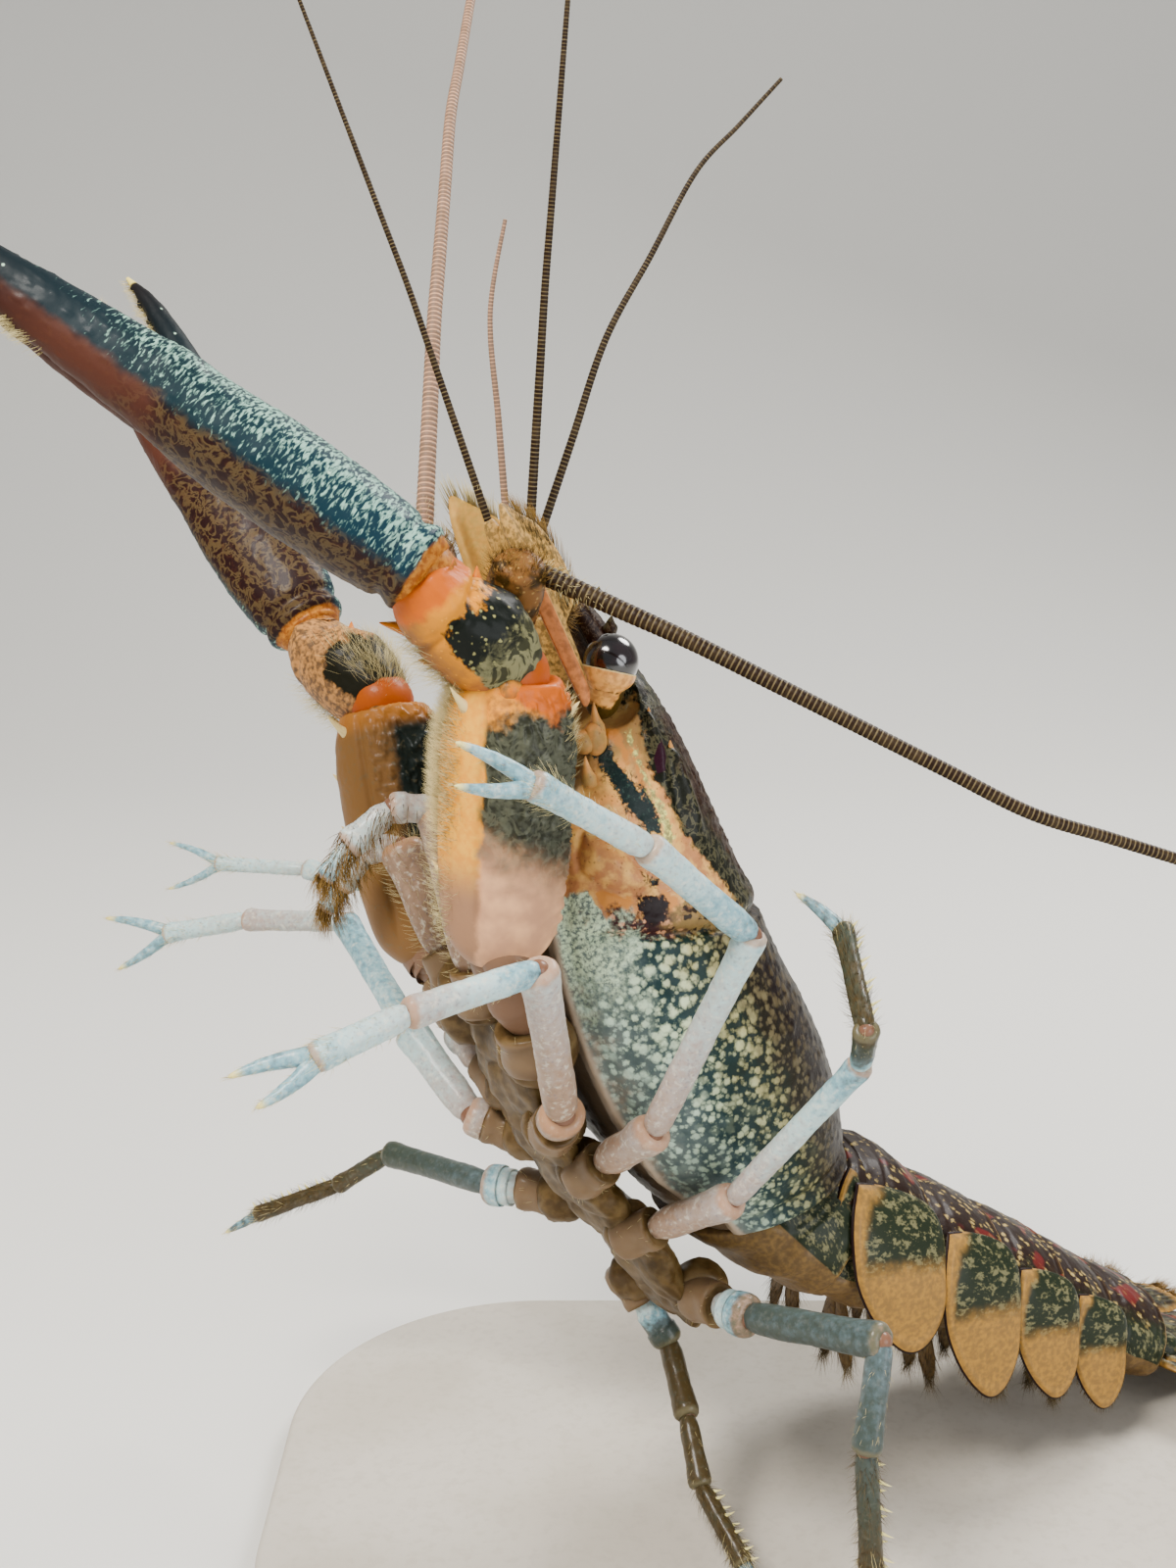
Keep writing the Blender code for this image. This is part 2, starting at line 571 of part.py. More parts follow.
def edge_thorn(start, along, length, size, spine):
    """Spine on a claw piece, leaning toward its far end."""
    part, turn, reach, radius = spine
    side = along.cross(VIEW_SIDE).normalized()
    t = math.radians(turn)
    over = side.cross(along)
    way = side * math.cos(t) + over * math.sin(t)
    place = start + along * part * length + side * math.cos(t) * size[0] + over * math.sin(t) * size[1]
    return thorn(place - way * radius * 0.9, (way + along * 0.9).normalized(), reach + radius, radius)


def build_hand(side, claw, root, turn, mats):
    length, azimuth, elevation = claw["hand"]
    along = heading(azimuth, elevation)
    wide = heading(*claw["width_up"])
    wide = (wide - wide.dot(along) * along).normalized()
    flat = along.cross(wide)
    half, thick = claw["palm"]
    sign = claw["dactyl_side"]
    palm = length * PALM_SHARE
    first_wide = (wide - wide.dot(turn) * turn).normalized()
    rings = [oval(root, first_wide, turn.cross(first_wide), 3.6, 3.4, CLAW_SIDES)]
    for s, w, t, o in HAND_FORM:
        centre = root + along * s * length - wide * sign * o * half
        rings.append(oval(centre, wide, flat, half * w, thick * t, CLAW_SIDES, 0.9))
    fixed = solid(f"claw_{side}_hand", rings, root, mats["claw_shell"])
    a = math.radians(claw["spread"]) * sign
    way = along * math.cos(a) + wide * math.sin(a)
    side_way = wide * math.cos(a) - along * math.sin(a)
    hinge = root + along * (palm + 2.0) + wide * sign * 0.52 * half
    rest = length - palm - 2.0
    rings = []
    for s, w, t, o in FINGER_FORM:
        centre = hinge + way * s * rest + side_way * sign * o * half
        rings.append(oval(centre, side_way, flat, half * w, thick * t, CLAW_SIDES, 0.9))
    finger = solid(f"claw_{side}_finger", rings, hinge, mats["claw_shell"])
    upper, lower = [], []
    for part, radius in CLAW_TEETH:
        s = PALM_SHARE + 0.03 + (1 - PALM_SHARE - 0.03) * part
        w, o = hand_width(HAND_FORM, s)
        place = root + along * s * length + wide * sign * half * (w - o - 0.06)
        upper.append(thorn(place, wide * sign, 0.45, radius, 6))
        w, o = hand_width(FINGER_FORM, part + 0.07)
        place = hinge + way * (part + 0.07) * rest - side_way * sign * half * (w - o - 0.06)
        lower.append(thorn(place, -side_way * sign, 0.4, radius, 6))
    join(fixed, upper)
    join(finger, lower)


def hand_width(form, s):
    """Half width and offset of a claw form at a share of its length."""
    for one, two in zip(form, form[1:]):
        if s <= two[0]:
            break
    part = (s - one[0]) / (two[0] - one[0])
    return one[1] + (two[1] - one[1]) * part, one[3] + (two[3] - one[3]) * part


def build_mouth_legs(mats):
    for side, leg in MOUTH_LEGS.items():
        hip = body(*leg["hip"])
        path, sizes, end = limb_path(hip, leg["lengths"], leg["radii"], COXA_LENGTH + GAP)
        sizes[-1] = (0.4, 0.4)
        tube(f"mouth_leg_{side}", path, sizes, off_axis(path, LEFT), 10, path[0], mats["claw_joint"])


def build_eyes(mats):
    for side, sign in (("left", 1), ("right", -1)):
        centre = body(EYE_AT[0], EYE_AT[1], EYE_AT[2] * sign)
        root = body(STALK_FROM[0], STALK_FROM[1], STALK_FROM[2] * sign)
        along = (centre - root).normalized()
        reach = (centre - root).length
        rings = []
        for k in range(9):
            t = math.pi * (0.28 + 0.72 * k / 8.6)
            s = -EYE_RADIUS * math.cos(t)
            r = EYE_RADIUS * math.sin(t)
            rings.append(oval(centre + along * s, *frame(along), r, r, 20))
        solid(f"eye_{side}", rings, centre, mats["eye_black"])
        cut = EYE_RADIUS * math.cos(math.pi * 0.28)
        rings = []
        for part, r in ((0.0, 1.5), (0.5, 1.75), (0.8, 2.1), (1.0, EYE_RADIUS * math.sin(math.pi * 0.28))):
            s = part * (reach - cut - GAP)
            rings.append(oval(root + along * s, *frame(along), r, r, 16))
        solid(f"eyestalk_{side}", rings, root, mats["stalk_skin"])


def frame(along):
    """Two directions square to the given one."""
    side = along.cross(cross_up(along)).normalized()
    return side, side.cross(along)


def feeler(name, start, segments, first, last, count, mat):
    """Thin tapered whip through a few lengths."""
    path = [start]
    for length, azimuth, elevation in segments:
        steps = max(1, round(length / 12))
        for _ in range(steps):
            path.append(path[-1] + heading(azimuth, elevation) * (length / steps))
    sizes = []
    for i in range(len(path)):
        r = first + (last - first) * i / (len(path) - 1)
        sizes.append((r, r))
    obj = tube(name, path, sizes, off_axis(path, Vector((0.3, 0.9, 0.2))), count, start, mat)
    return obj, path[-1]


def plate(name, outline, normal, thick, at, mat):
    """Flat plate over an outline of points."""
    top = [p + normal * thick / 2 for p in outline]
    low = [p - normal * thick / 2 for p in outline]
    return solid(name, [low, top], at, mat)


def build_feelers(mats):
    for side, sign in (("left", 1), ("right", -1)):
        # scale: a long leaf with a stiff outer edge
        root = body(61.0, 0.4, 9.6 * sign)
        tip = body(81.4, -1.0, 6.8 * sign)
        along = (tip - root).normalized()
        reach = (tip - root).length
        inward = LEFT * -sign * 0.5 + BACK * 0.85
        inward = (inward - inward.dot(along) * along).normalized()
        normal = along.cross(inward)
        outline = []
        for s, w in SCALE_OUTLINE:
            outline.append(root + along * s * reach + inward * w)
        plate(f"antenna_scale_{side}", outline, normal, 1.2, root, mats["joint_skin"])
        # stalk of the long feeler
        start = body(60.8, -4.6, 6.6 * sign)
        end = body(73.0, -4.6, 8.8 * sign)
        way = (end - start).normalized()
        path = [start, start.lerp(end, 0.25), start.lerp(end, 0.5), start.lerp(end, 0.75)]
        path += [end + way * 1.0, end + way * 2.2]
        sizes = [(2.0, 2.0), (2.5, 2.5), (2.1, 2.1), (2.5, 2.5), (2.5, 2.5), (1.2, 1.2)]
        tube(f"antenna_stalk_{side}", path, sizes, LEFT, 14, start, mats["joint_skin"])
        start = body(61.5, 1.0, 2.6 * sign)
        end = body(75.0, 1.6, 3.0 * sign)
        path = [start, start.lerp(end, 0.3), start.lerp(end, 0.62), start.lerp(end, 0.9), end]
        sizes = [(1.5, 1.5), (1.8, 1.8), (1.4, 1.4), (1.6, 1.6), (1.3, 1.3)]
        tube(f"antennule_stalk_{side}", path, sizes, LEFT, 12, start, mats["joint_skin"])
    for name, from_stalk, segments, first, last in WHIPS:
        feeler(name, body(*from_stalk), segments, first, last, 6, mats["feeler"])
    for side, start, one, two in LONG_FEELERS:
        _, end = feeler(f"antenna_{side}_base", body(*start), one, 1.0, 0.75, 8, mats["feeler"])
        way = heading(*two[0][1:])
        feeler(f"antenna_{side}_whip", end + way * GAP, two, 0.75, 0.3, 6, mats["feeler"])


def build_abdomen(mats):
    axis = -FORE
    points = [body(ABDOMEN_FROM[0], ABDOMEN_FROM[1], 0)]
    ways = []
    for length, turn, *_ in ABDOMEN:
        t = math.radians(turn)
        ways.append(axis * math.cos(t) + BACK * math.sin(t))
        points.append(points[-1] + ways[-1] * length)
    for i, (length, turn, half, top, low) in enumerate(ABDOMEN):
        before = ways[i - 1] if i else axis * 2 - ways[0]
        after = ways[i + 1] if i + 1 < len(ways) else ways[i]
        nxt = ABDOMEN[i + 1] if i + 1 < len(ABDOMEN) else ABDOMEN[i]
        rings = []
        for part, swell in SEGMENT_SWELL:
            way = (before + ways[i]).normalized().lerp((ways[i] + after).normalized(), part).normalized()
            up = backward(way)
            centre = points[i].lerp(points[i + 1], part)
            centre = centre + ways[i] * (GAP * 0.5 * (1 - 2 * part))
            w = (half + (nxt[2] - half) * part) * swell
            t = (top + (nxt[3] - top) * part * (1.0 if i else FIRST_RISE)) * swell
            b = low + (nxt[4] - low) * part
            rings.append(tail_ring(centre, up, w, t, b))
        piece = solid(f"abdomen_{i + 1}", rings, points[i], mats["shell_tail"])
        if i < len(PLEURA):
            leaf = PLEURA[i]
            up = backward(ways[i])
            centre = points[i] + ways[i] * length * 0.5
            flaps = [pleuron(centre, ways[i], up, half, leaf, sign) for sign in (1, -1)]
            if i:
                flaps += [swimmeret(centre, ways[i], up, low, SWIMMERETS[i - 1], sign, turn)
                          for sign in (1, -1) for turn in (-1, 1)]
            join(piece, flaps)
    build_fan(points[-1], ways[-1], mats)


def backward(way):
    """Direction square to the tail's run, toward its back."""
    up = way.cross(LEFT)
    return up if up.dot(BACK) > 0 else -up


def tail_ring(centre, up, half, top, low):
    """Ring of a tail segment: a high back over a shallow belly."""
    ring = []
    for k in range(TAIL_SIDES):
        t = 2 * math.pi * (k + 0.5) / TAIL_SIDES
        c, s = math.cos(t), math.sin(t)
        high, flat = (top, 0.9) if s >= 0 else (low, 0.7)
        wide = half * math.copysign(abs(c) ** flat, c)
        ring.append(centre + LEFT * wide + up * high * math.copysign(abs(s) ** 0.95, s))
    return ring


def pleuron(centre, along, up, half, leaf, sign):
    """Leaf-shaped side flap of one tail segment, its upper part bent in over the back."""
    deep, long, sweep, inset, rise, shift = leaf
    outline = []
    for s, u in FLAP_OUTLINE:
        high = u * deep + rise
        out = LEFT * sign * (half - inset - FLAP_CURL * max(high, 0.0) ** 2 - 0.6 * u)
        outline.append(centre + along * ((s - sweep * u) * long + shift) + up * high + out)
    return plate("flap", outline, LEFT * sign, PLEURA_THICK, centre, None)


def swimmeret(centre, along, up, low, form, sign, turn):
    """One blade of a swimming leg, hanging back from the belly."""
    long, wide, side = form
    way = (along * 0.4 - up + LEFT * sign * (0.12 + 0.22 * turn)).normalized()
    root = centre + LEFT * sign * (side + turn * 0.7) - up * (low - 1.6)
    rings = []
    for part, share in ((0.0, 0.45), (0.55, 1.0), (1.0, 0.4)):
        place = root + way * part * (long + 1.6)
        rings.append(oval(place, LEFT, along, wide * share / 2, SWIMMERET_THICK / 2, 6))
    return solid("blade", rings, root)


def build_fan(root, way, mats):
    t = math.radians(FAN_TURN)
    along = -FORE * math.cos(t) + BACK * math.sin(t)
    up = backward(along)
    start = root + way * (GAP + 0.4)
    rings = []
    for s, w in TELSON_FORM:
        thick = TELSON_THICK / 2 * (1 - 0.4 * s)
        rings.append(oval(start + along * s * TELSON_LENGTH, LEFT, up, TELSON_WIDTH * w / 2, thick, 14, 0.7))
    solid("telson", rings, start, mats["shell_tail"])
    for side, sign in (("left", 1), ("right", -1)):
        hub = start + LEFT * sign * FAN_HUB[0] + along * FAN_HUB[1]
        blades = []
        for turn, long, wide, drop in FAN_BLADES:
            a = math.radians(turn) * sign
            way2 = along * math.cos(a) + LEFT * math.sin(a)
            side2 = LEFT * math.cos(a) - along * math.sin(a)
            rings = []
            for s, w in BLADE_FORM:
                place = hub + up * drop * min(1, s * 3) + way2 * s * long
                rings.append(oval(place, side2, up, wide * w / 2, BLADE_THICK / 2, 12, 0.7))
            blades.append(solid("blade", rings, hub, None))
        first = blades.pop(0)
        first.name = f"uropod_{side}"
        first.data.materials.append(mats["shell_tail"])
        path = [hub - along * 1.0, hub + along * 3.0]
        stub = tube("stub", path, [(2.0, 2.0), (1.8, 1.2)], up, 10, hub, None)
        join(first, blades + [stub])


def build_base(mats):
    x0, y0 = BASE_CENTRE
    ring = []
    for cx, cy, start in ((1, 1, 0), (-1, 1, 90), (-1, -1, 180), (1, -1, 270)):
        for k in range(9):
            a = math.radians(start + k * 90 / 8)
            ring.append((x0 + cx * (BASE_LENGTH / 2 - BASE_CORNER) + BASE_CORNER * math.cos(a),
                         y0 + cy * (BASE_WIDTH / 2 - BASE_CORNER) + BASE_CORNER * math.sin(a)))
    rings = []
    edges = (
        (0.0, BASE_BEVEL * 0.5), (BASE_BEVEL * 0.5, 0.0), (BASE_THICK - BASE_BEVEL, 0.0),
        (BASE_THICK, BASE_BEVEL),
    )
    for z, inset in edges:
        f = 1 - inset / (BASE_WIDTH / 2)
        rings.append([Vector((x0 + (x - x0) * f, y0 + (y - y0) * f, z)) for x, y in ring])
    obj = solid("stand_base", rings, Vector((x0, y0, 0)), mats["stand_plate"])
    obj.data.polygons.foreach_set("use_smooth", [False] * len(obj.data.polygons))


def main():
    for obj in list(bpy.data.objects):
        bpy.data.objects.remove(obj)
    mats = {
        "shell_speckled": material("shell_speckled", (0.05, 0.09, 0.09), 0.4),
        "shell_head": material("shell_head", (0.35, 0.2, 0.12), 0.42),
        "shell_tail": material("shell_tail", (0.12, 0.09, 0.06), 0.42),
        "claw_shell": material("claw_shell", (0.03, 0.09, 0.12), 0.38),
        "claw_joint": material("claw_joint", (0.75, 0.28, 0.07), 0.45),
        "leg_shell": material("leg_shell", (0.4, 0.5, 0.55), 0.4),
        "joint_skin": material("joint_skin", (0.6, 0.4, 0.3), 0.5),
        "stalk_skin": material("stalk_skin", (0.7, 0.5, 0.36), 0.45),
        "eye_black": material("eye_black", (0.01, 0.01, 0.012), 0.12),
        "feeler": material("feeler", (0.1, 0.08, 0.04), 0.5),
        "stand_plate": material("stand_plate", (0.5, 0.48, 0.45), 0.6),
    }
    build_base(mats)
    build_carapace(mats)
    build_sternum(mats)
    build_legs(mats)
    build_claws(mats)
    build_mouth_legs(mats)
    build_eyes(mats)
    build_feelers(mats)
    build_abdomen(mats)


main()
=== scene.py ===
# Looks of a life-size museum model of a freshwater crayfish, reared up on its tail and hindmost legs.
# Lengths are in millimetres and become metres in MM. S runs forward along the carapace, UP toward the
# back and LEFT to the animal's left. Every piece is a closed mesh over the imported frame's nodes, and it
# carries two values at each point: place, where the point lies on its own part, and tone, what it is.
import math

import bmesh
import bpy
import numpy as np
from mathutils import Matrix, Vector, noise


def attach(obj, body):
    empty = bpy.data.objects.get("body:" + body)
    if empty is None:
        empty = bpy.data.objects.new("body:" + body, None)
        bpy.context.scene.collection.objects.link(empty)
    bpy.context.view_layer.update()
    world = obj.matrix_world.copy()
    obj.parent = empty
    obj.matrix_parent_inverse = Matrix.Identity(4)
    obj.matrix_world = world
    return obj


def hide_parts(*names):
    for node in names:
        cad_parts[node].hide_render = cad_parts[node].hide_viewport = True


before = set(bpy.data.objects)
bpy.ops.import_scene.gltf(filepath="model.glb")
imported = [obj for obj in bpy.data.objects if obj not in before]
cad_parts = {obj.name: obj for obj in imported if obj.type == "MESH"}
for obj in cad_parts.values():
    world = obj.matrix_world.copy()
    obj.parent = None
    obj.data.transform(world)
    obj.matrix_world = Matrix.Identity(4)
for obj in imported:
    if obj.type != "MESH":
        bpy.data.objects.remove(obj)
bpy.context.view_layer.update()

MM = 0.001
DRAW = np.random.RandomState(7)

# Camera of the photograph, in an image of 1200 by 1600
CAMERA_AT = (-30.0, -199.0, 135.95)
CAMERA_DOWN = 14
CAMERA_LENS = 45
CAMERA_FILM = 36

# Carapace: its place over the base and its lean
BODY_REAR = np.array((-16.2, -0.1, 39.6))
LEAN = (-163, 72)
BACK_AZIMUTH = 24
GROOVE_S = 36.0
GROOVE_SLOPE = -0.35
THORAX_FORM = [
    (0.0, 11.4, 14.4, -4.0), (3.0, 12.9, 15.2, -6.5), (8.0, 14.3, 15.9, -9.0), (15.0, 15.3, 16.0, -11.5),
    (22.0, 15.5, 15.3, -12.8), (29.0, 14.8, 14.2, -13.0),
]
HEAD_FORM = [
    (36.0, 13.6, 13.55, -11.8), (44.0, 12.2, 12.4, -9.0), (50.0, 10.8, 11.6, -6.0), (55.0, 8.9, 10.7, -2.0),
    (58.5, 6.2, 9.7, 2.6),
]
ROSTRUM_FORM = [(61.0, 4.4, 9.0, 4.4), (66.0, 3.3, 7.4, 4.0), (69.5, 2.2, 5.8, 3.7), (71.6, 0.7, 4.6, 3.7)]
HEAD_RIDGES = [(57.2, 48.6, 14), (53.6, 43.6, 27)]
ORBIT_AT = (60.8, 3.5, 7.4)
ORBIT_RADIUS = 4.4
FRONT_LOBE = (56.4, 0.6, 7.4)
FRONT_SPINES = [(57.6, 1.2, 7.6, 2.6), (53.6, -1.8, 9.0, 2.4)]
ROSTRUM_TEETH = [(62.4, 4.2), (65.6, 3.6), (68.6, 2.7)]
# How far round the lower rim of the shell lies: S, degrees from the middle of the side
SHELL_RIM = [(0, -40), (5, -48), (10, -60), (47, -60), (56, -42)]
STERNUM_FORM = [
    (58.0, 4.0, -2.6, -5.5), (52.0, 6.5, -6.4, -9.5), (44.0, 7.5, -11.4, -13.6), (37.0, 7.5, -13.6, -16.2),
    (30.0, 8.0, -13.8, -18.5), (22.0, 8.5, -13.4, -18.5), (15.0, 9.0, -12.2, -17.5), (8.0, 9.0, -9.9, -15.6),
    (2.0, 9.0, -7.6, -12.8), (-4.0, 9.0, -7.2, -11.6), (-8.0, 8.0, -6.8, -10.0), (-10.5, 5.5, -6.6, -8.4),
]

# Walking legs: hip (S, UP, LEFT), then each length with its azimuth and elevation in whole degrees
COXA_LENGTH = 4.0
LEGS = {
    "left_2": dict(hip=(20.1, -16.6, 7.0), radii=(2.3, 1.9, 1.5, 1.45),
                   lengths=[(8.2, -80, 34), (20.6, -102, 62), (13.5, -145, -5), (9.0, -154, -17)],
                   fingers=[(7.5, -169, -9), (6.5, -148, -31)]),
    "left_3": dict(hip=(14.1, -15.4, 7.5), radii=(2.1, 1.55, 1.5, 1.35),
                   lengths=[(12.5, -44, 39), (25.0, -38, 64), (15.5, -146, 41), (14.0, -146, 32)],
                   fingers=[(7.5, -170, 31), (7.0, -156, 5)]),
    "left_4": dict(hip=(5.2, -13.0, 7.5), radii=(2.0, 1.4, 1.25, 1.1),
                   lengths=[(14.0, -31, 31), (22.5, -36, 52), (8.0, -94, 45), (12.5, 95, 29)],
                   fingers=[(6.0, 139, 24)], spines=(-6, 12)),
    "left_5": dict(hip=(-5.0, -8.0, 8.0), radii=(2.2, 1.8, 1.5, 1.3),
                   lengths=[(8.5, -55, 10), (17.0, -44, 13), (10.5, -118, -72), (15.0, 60, -80)],
                   fingers=[(7.0, 60, -66)], stands=True, spines=(0, 8)),
    "right_2": dict(hip=(20.1, -16.6, -7.0), radii=(2.1, 1.7, 1.2, 0.9),
                    lengths=[(10.0, 121, 19), (20.0, 123, 38), (12.0, 153, 4), (11.5, 165, -1)],
                    fingers=[(7.0, 158, 16), (7.0, 177, -28)]),
    "right_3": dict(hip=(14.1, -16.5, -7.0), radii=(2.1, 1.9, 1.6, 1.35, 1.25),
                    lengths=[(5.5, 171, 18), (12.5, 133, 32), (19.5, 120, 24), (14.0, 155, -7), (11.0, 167, -13)],
                    fingers=[(8.5, 164, 8), (7.5, -169, -35)]),
    "right_4": dict(hip=(5.2, -15.0, -7.5), radii=(2.2, 1.5, 1.1, 1.0),
                    lengths=[(8.0, 155, -4), (17.5, 136, -6), (9.5, 152, -37), (12.0, 165, -26)],
                    fingers=[(5.0, 174, -33)], spines=(70, 60)),
    "right_5": dict(hip=(-7.0, -11.0, -6.0), radii=(1.9, 1.5, 1.3, 1.15),
                    lengths=[(9.0, -24, -52), (9.0, -76, -33), (7.5, -77, -43), (9.5, -61, -27)],
                    fingers=[(5.5, -58, -49)], stands=True, spines=(10, 40)),
}
FOOT_TOP = 4.3
FOOT_RADIUS = 0.28

# Claws
CLAWS = {
    "left": dict(hip=(29.6, -16.2, 9.4), lengths=[(13.5, -131, 68), (26.5, -8, 87), (12.5, -155, 50)],
                 hand=(60.0, 170, 33), palm=(6.4, 4.7), width_up=(96, -16), spread=2),
    "right": dict(hip=(30.0, -17.5, -7.5), lengths=[(8.5, 128, 37), (27.0, 122, 69), (14.0, 134, 27)],
                  hand=(57.0, 132, 40), palm=(5.8, 4.3), width_up=(15, 35), spread=5),
}
PALM_SHARE = 0.43
HAND_FORM = [
    (0.0, 0.6, 0.72, 0.0), (0.06, 0.84, 0.9, 0.0), (0.17, 0.97, 1.0, 0.0), (0.3, 1.0, 1.0, 0.0),
    (0.4, 0.96, 0.95, 0.0), (0.45, 0.5, 0.9, 0.46), (0.55, 0.44, 0.78, 0.5), (0.68, 0.36, 0.64, 0.52),
    (0.82, 0.27, 0.47, 0.5), (0.93, 0.16, 0.3, 0.38), (1.0, 0.04, 0.07, 0.2),
]
FINGER_FORM = [
    (0.0, 0.32, 0.66, 0.0), (0.08, 0.4, 0.76, 0.02), (0.3, 0.37, 0.68, 0.04), (0.58, 0.29, 0.52, 0.0),
    (0.84, 0.18, 0.32, -0.12), (1.0, 0.04, 0.07, -0.3),
]
ARM_SPINES = [(0.9, -45, 2.6, 0.7), (0.93, 25, 2.8, 0.7), (0.72, 10, 1.5, 0.6), (0.5, 5, 1.3, 0.6), (0.28, 0, 1.2, 0.55),
              (0.88, 178, 1.5, 0.6)]
WRIST_SPINES = [(0.72, 8, 2.6, 1.0), (0.44, -4, 1.4, 0.8), (0.76, 150, 1.2, 0.7)]

MOUTH_LEGS = {
    "left": dict(hip=(34.5, -18.2, 3.4), radii=(2.2, 1.5, 1.5, 1.1),
                 lengths=[(20.5, 176, 79), (4.5, -168, 5), (5.5, -155, -35), (4.0, -162, -52)]),
    "right": dict(hip=(34.5, -18.2, -3.4), radii=(2.2, 1.5, 1.5, 1.1),
                  lengths=[(15.5, 144, 62), (4.0, 167, -8), (4.5, -161, -53), (3.0, -158, -56)]),
}
EYE_RADIUS = 2.7
EYE_AT = (63.3, 4.4, 8.2)
STALK_FROM = (59.0, 3.2, 5.6)

# Thin feelers: root in the body frame, lengths, first and last radius
WHIPS = [
    ("antennule_left_outer", (76.0, 1.6, 3.9), [(24.0, 10, 86), (32.0, 8, 85)], 0.5, 0.22),
    ("antennule_left_inner", (76.0, 3.4, 2.4), [(20.0, 20, 70), (18.0, 16, 60), (12.0, 12, 46)], 0.45, 0.2),
    ("antennule_right_outer", (77.8, 1.0, -3.6), [(24.0, 168, 71), (32.0, 168, 69)], 0.42, 0.2),
    ("antennule_right_inner", (77.8, 2.4, -2.4), [(20.0, 172, 86), (9.0, 10, 80)], 0.4, 0.2),
]
LONG_FEELERS = [
    ("left", (75.2, -1.4, 12.2), [(16.0, -15, -22), (34.0, -12, -25), (32.0, 2, -18), (32.0, 12, -6)]),
    ("right", (76.0, -4.2, -11.4), [(26.0, 87, 62), (26.0, 85, 58), (28.0, 80, 52), (28.0, 74, 42)]),
]
RING_PITCH = 0.6

# Tail
ABDOMEN_FROM = (-0.4, 3.9)
ABDOMEN = [
    (8.4, 22, 11.0, 10.4, 9.3), (11.5, 46, 12.4, 13.4, 5.2), (11.5, 49, 12.8, 10.8, 4.8),
    (10.0, 48, 12.2, 9.0, 4.6), (9.0, 45, 11.4, 7.6, 4.4), (9.5, 42, 9.8, 6.2, 4.0),
]
# Side leaves: depth, length, sweep to the rear, inset, rise, shift to the rear
PLEURA = [
    (7.0, 4.6, 0.2, 0.2, 8.0, 0.8), (14.0, 13.8, 0.38, -0.4, 7.6, -1.1), (15.0, 11.6, 0.48, -0.1, 5.6, 0.2),
    (12.0, 10.2, 0.48, 0.0, 4.0, 0.2), (10.6, 9.2, 0.48, 0.0, 3.0, 0.1),
]
LEAF_OUTLINE = [
    (-0.36, 0.1), (-0.47, -0.12), (-0.5, -0.36), (-0.43, -0.62), (-0.22, -0.86), (0.08, -1.0), (0.3, -0.92),
    (0.46, -0.66), (0.48, -0.34), (0.42, 0.1),
]
LEAF_CURL = 0.04
SWIMMERETS = [(7.0, 3.0, 5.2), (6.6, 3.0, 5.0), (6.0, 2.8, 4.6), (5.4, 2.6, 4.2)]
TELSON_LENGTH = 19.0
TELSON_WIDTH = 10.5
FAN_TURN = 58


def heading(azimuth, elevation):
    """Unit direction from whole degrees."""
    a, e = math.radians(azimuth), math.radians(elevation)
    return np.array((math.cos(e) * math.cos(a), math.cos(e) * math.sin(a), math.sin(e)))


def unit(v):
    v = np.asarray(v, float)
    return v / (np.linalg.norm(v, axis=-1, keepdims=True) + 1e-9)


FORE = heading(*LEAN)
BACK = heading(BACK_AZIMUTH, 0)
BACK = unit(BACK - BACK.dot(FORE) * FORE)
LEFT = np.cross(BACK, FORE)
VIEW_SIDE = heading(90, 14)


def body(s, up, left):
    """Place in the body frame."""
    return BODY_REAR + s * FORE + up * BACK + left * LEFT


def in_body(points):
    """S, UP and LEFT of points."""
    away = points - BODY_REAR
    return np.stack([away @ FORE, away @ BACK, away @ LEFT], -1)


def ramp(x, low, high):
    """Smooth step from 0 at low to 1 at high."""
    t = np.clip((np.asarray(x, float) - low) / (high - low), 0, 1)
    return t * t * (3 - 2 * t)


def fill(rows, spacing, size=3):
    """Stations about one spacing apart on a smooth curve through the named ones."""
    rows = np.array(rows, float)
    out = []
    for i in range(len(rows) - 1):
        a, b, c, d = rows[max(i - 1, 0)], rows[i], rows[i + 1], rows[min(i + 2, len(rows) - 1)]
        steps = max(1, round(float(np.linalg.norm((c - b)[:size])) / spacing))
        for k in range(steps):
            t = k / steps
            out.append(0.5 * (2 * b + (c - a) * t + (2 * a - 5 * b + 4 * c - d) * t * t
                              + (3 * b - a - 3 * c + d) * t ** 3))
    out.append(rows[-1])
    return np.array(out)


def across(along):
    """Two directions square to the given one."""
    off = np.array((0, 0, 1.0)) if abs(along[2]) < 0.8 else np.array((1.0, 0, 0))
    side = unit(np.cross(along, off))
    return side, np.cross(side, along)


def tube(path, up, count, square=1.0):
    """Rings round a path whose rows hold a place, a half width and a half thickness."""
    path = np.asarray(path, float)
    along = unit(np.gradient(path[:, :3], axis=0))
    side = unit(np.cross(along, up))
    over = np.cross(side, along)
    t = 2 * math.pi * (np.arange(count) + 0.5) / count
    c = np.sign(np.cos(t)) * np.abs(np.cos(t)) ** square
    s = np.sign(np.sin(t)) * np.abs(np.sin(t)) ** square
    return (path[:, None, :3] + side[:, None] * (c * path[:, 3:4])[..., None]
            + over[:, None] * (s * path[:, 4:5])[..., None])


def normals(grid):
    """Ways out of a grid of rings."""
    way = unit(np.cross(np.gradient(grid, axis=0), np.roll(grid, -1, 1) - np.roll(grid, 1, 1)))
    out = grid - grid.mean(1, keepdims=True)
    return -way if (way * out).sum() < 0 else way


def lift(grid, height):
    """Grid of rings moved out along its own normals."""
    return grid + normals(grid) * np.asarray(height)[..., None]


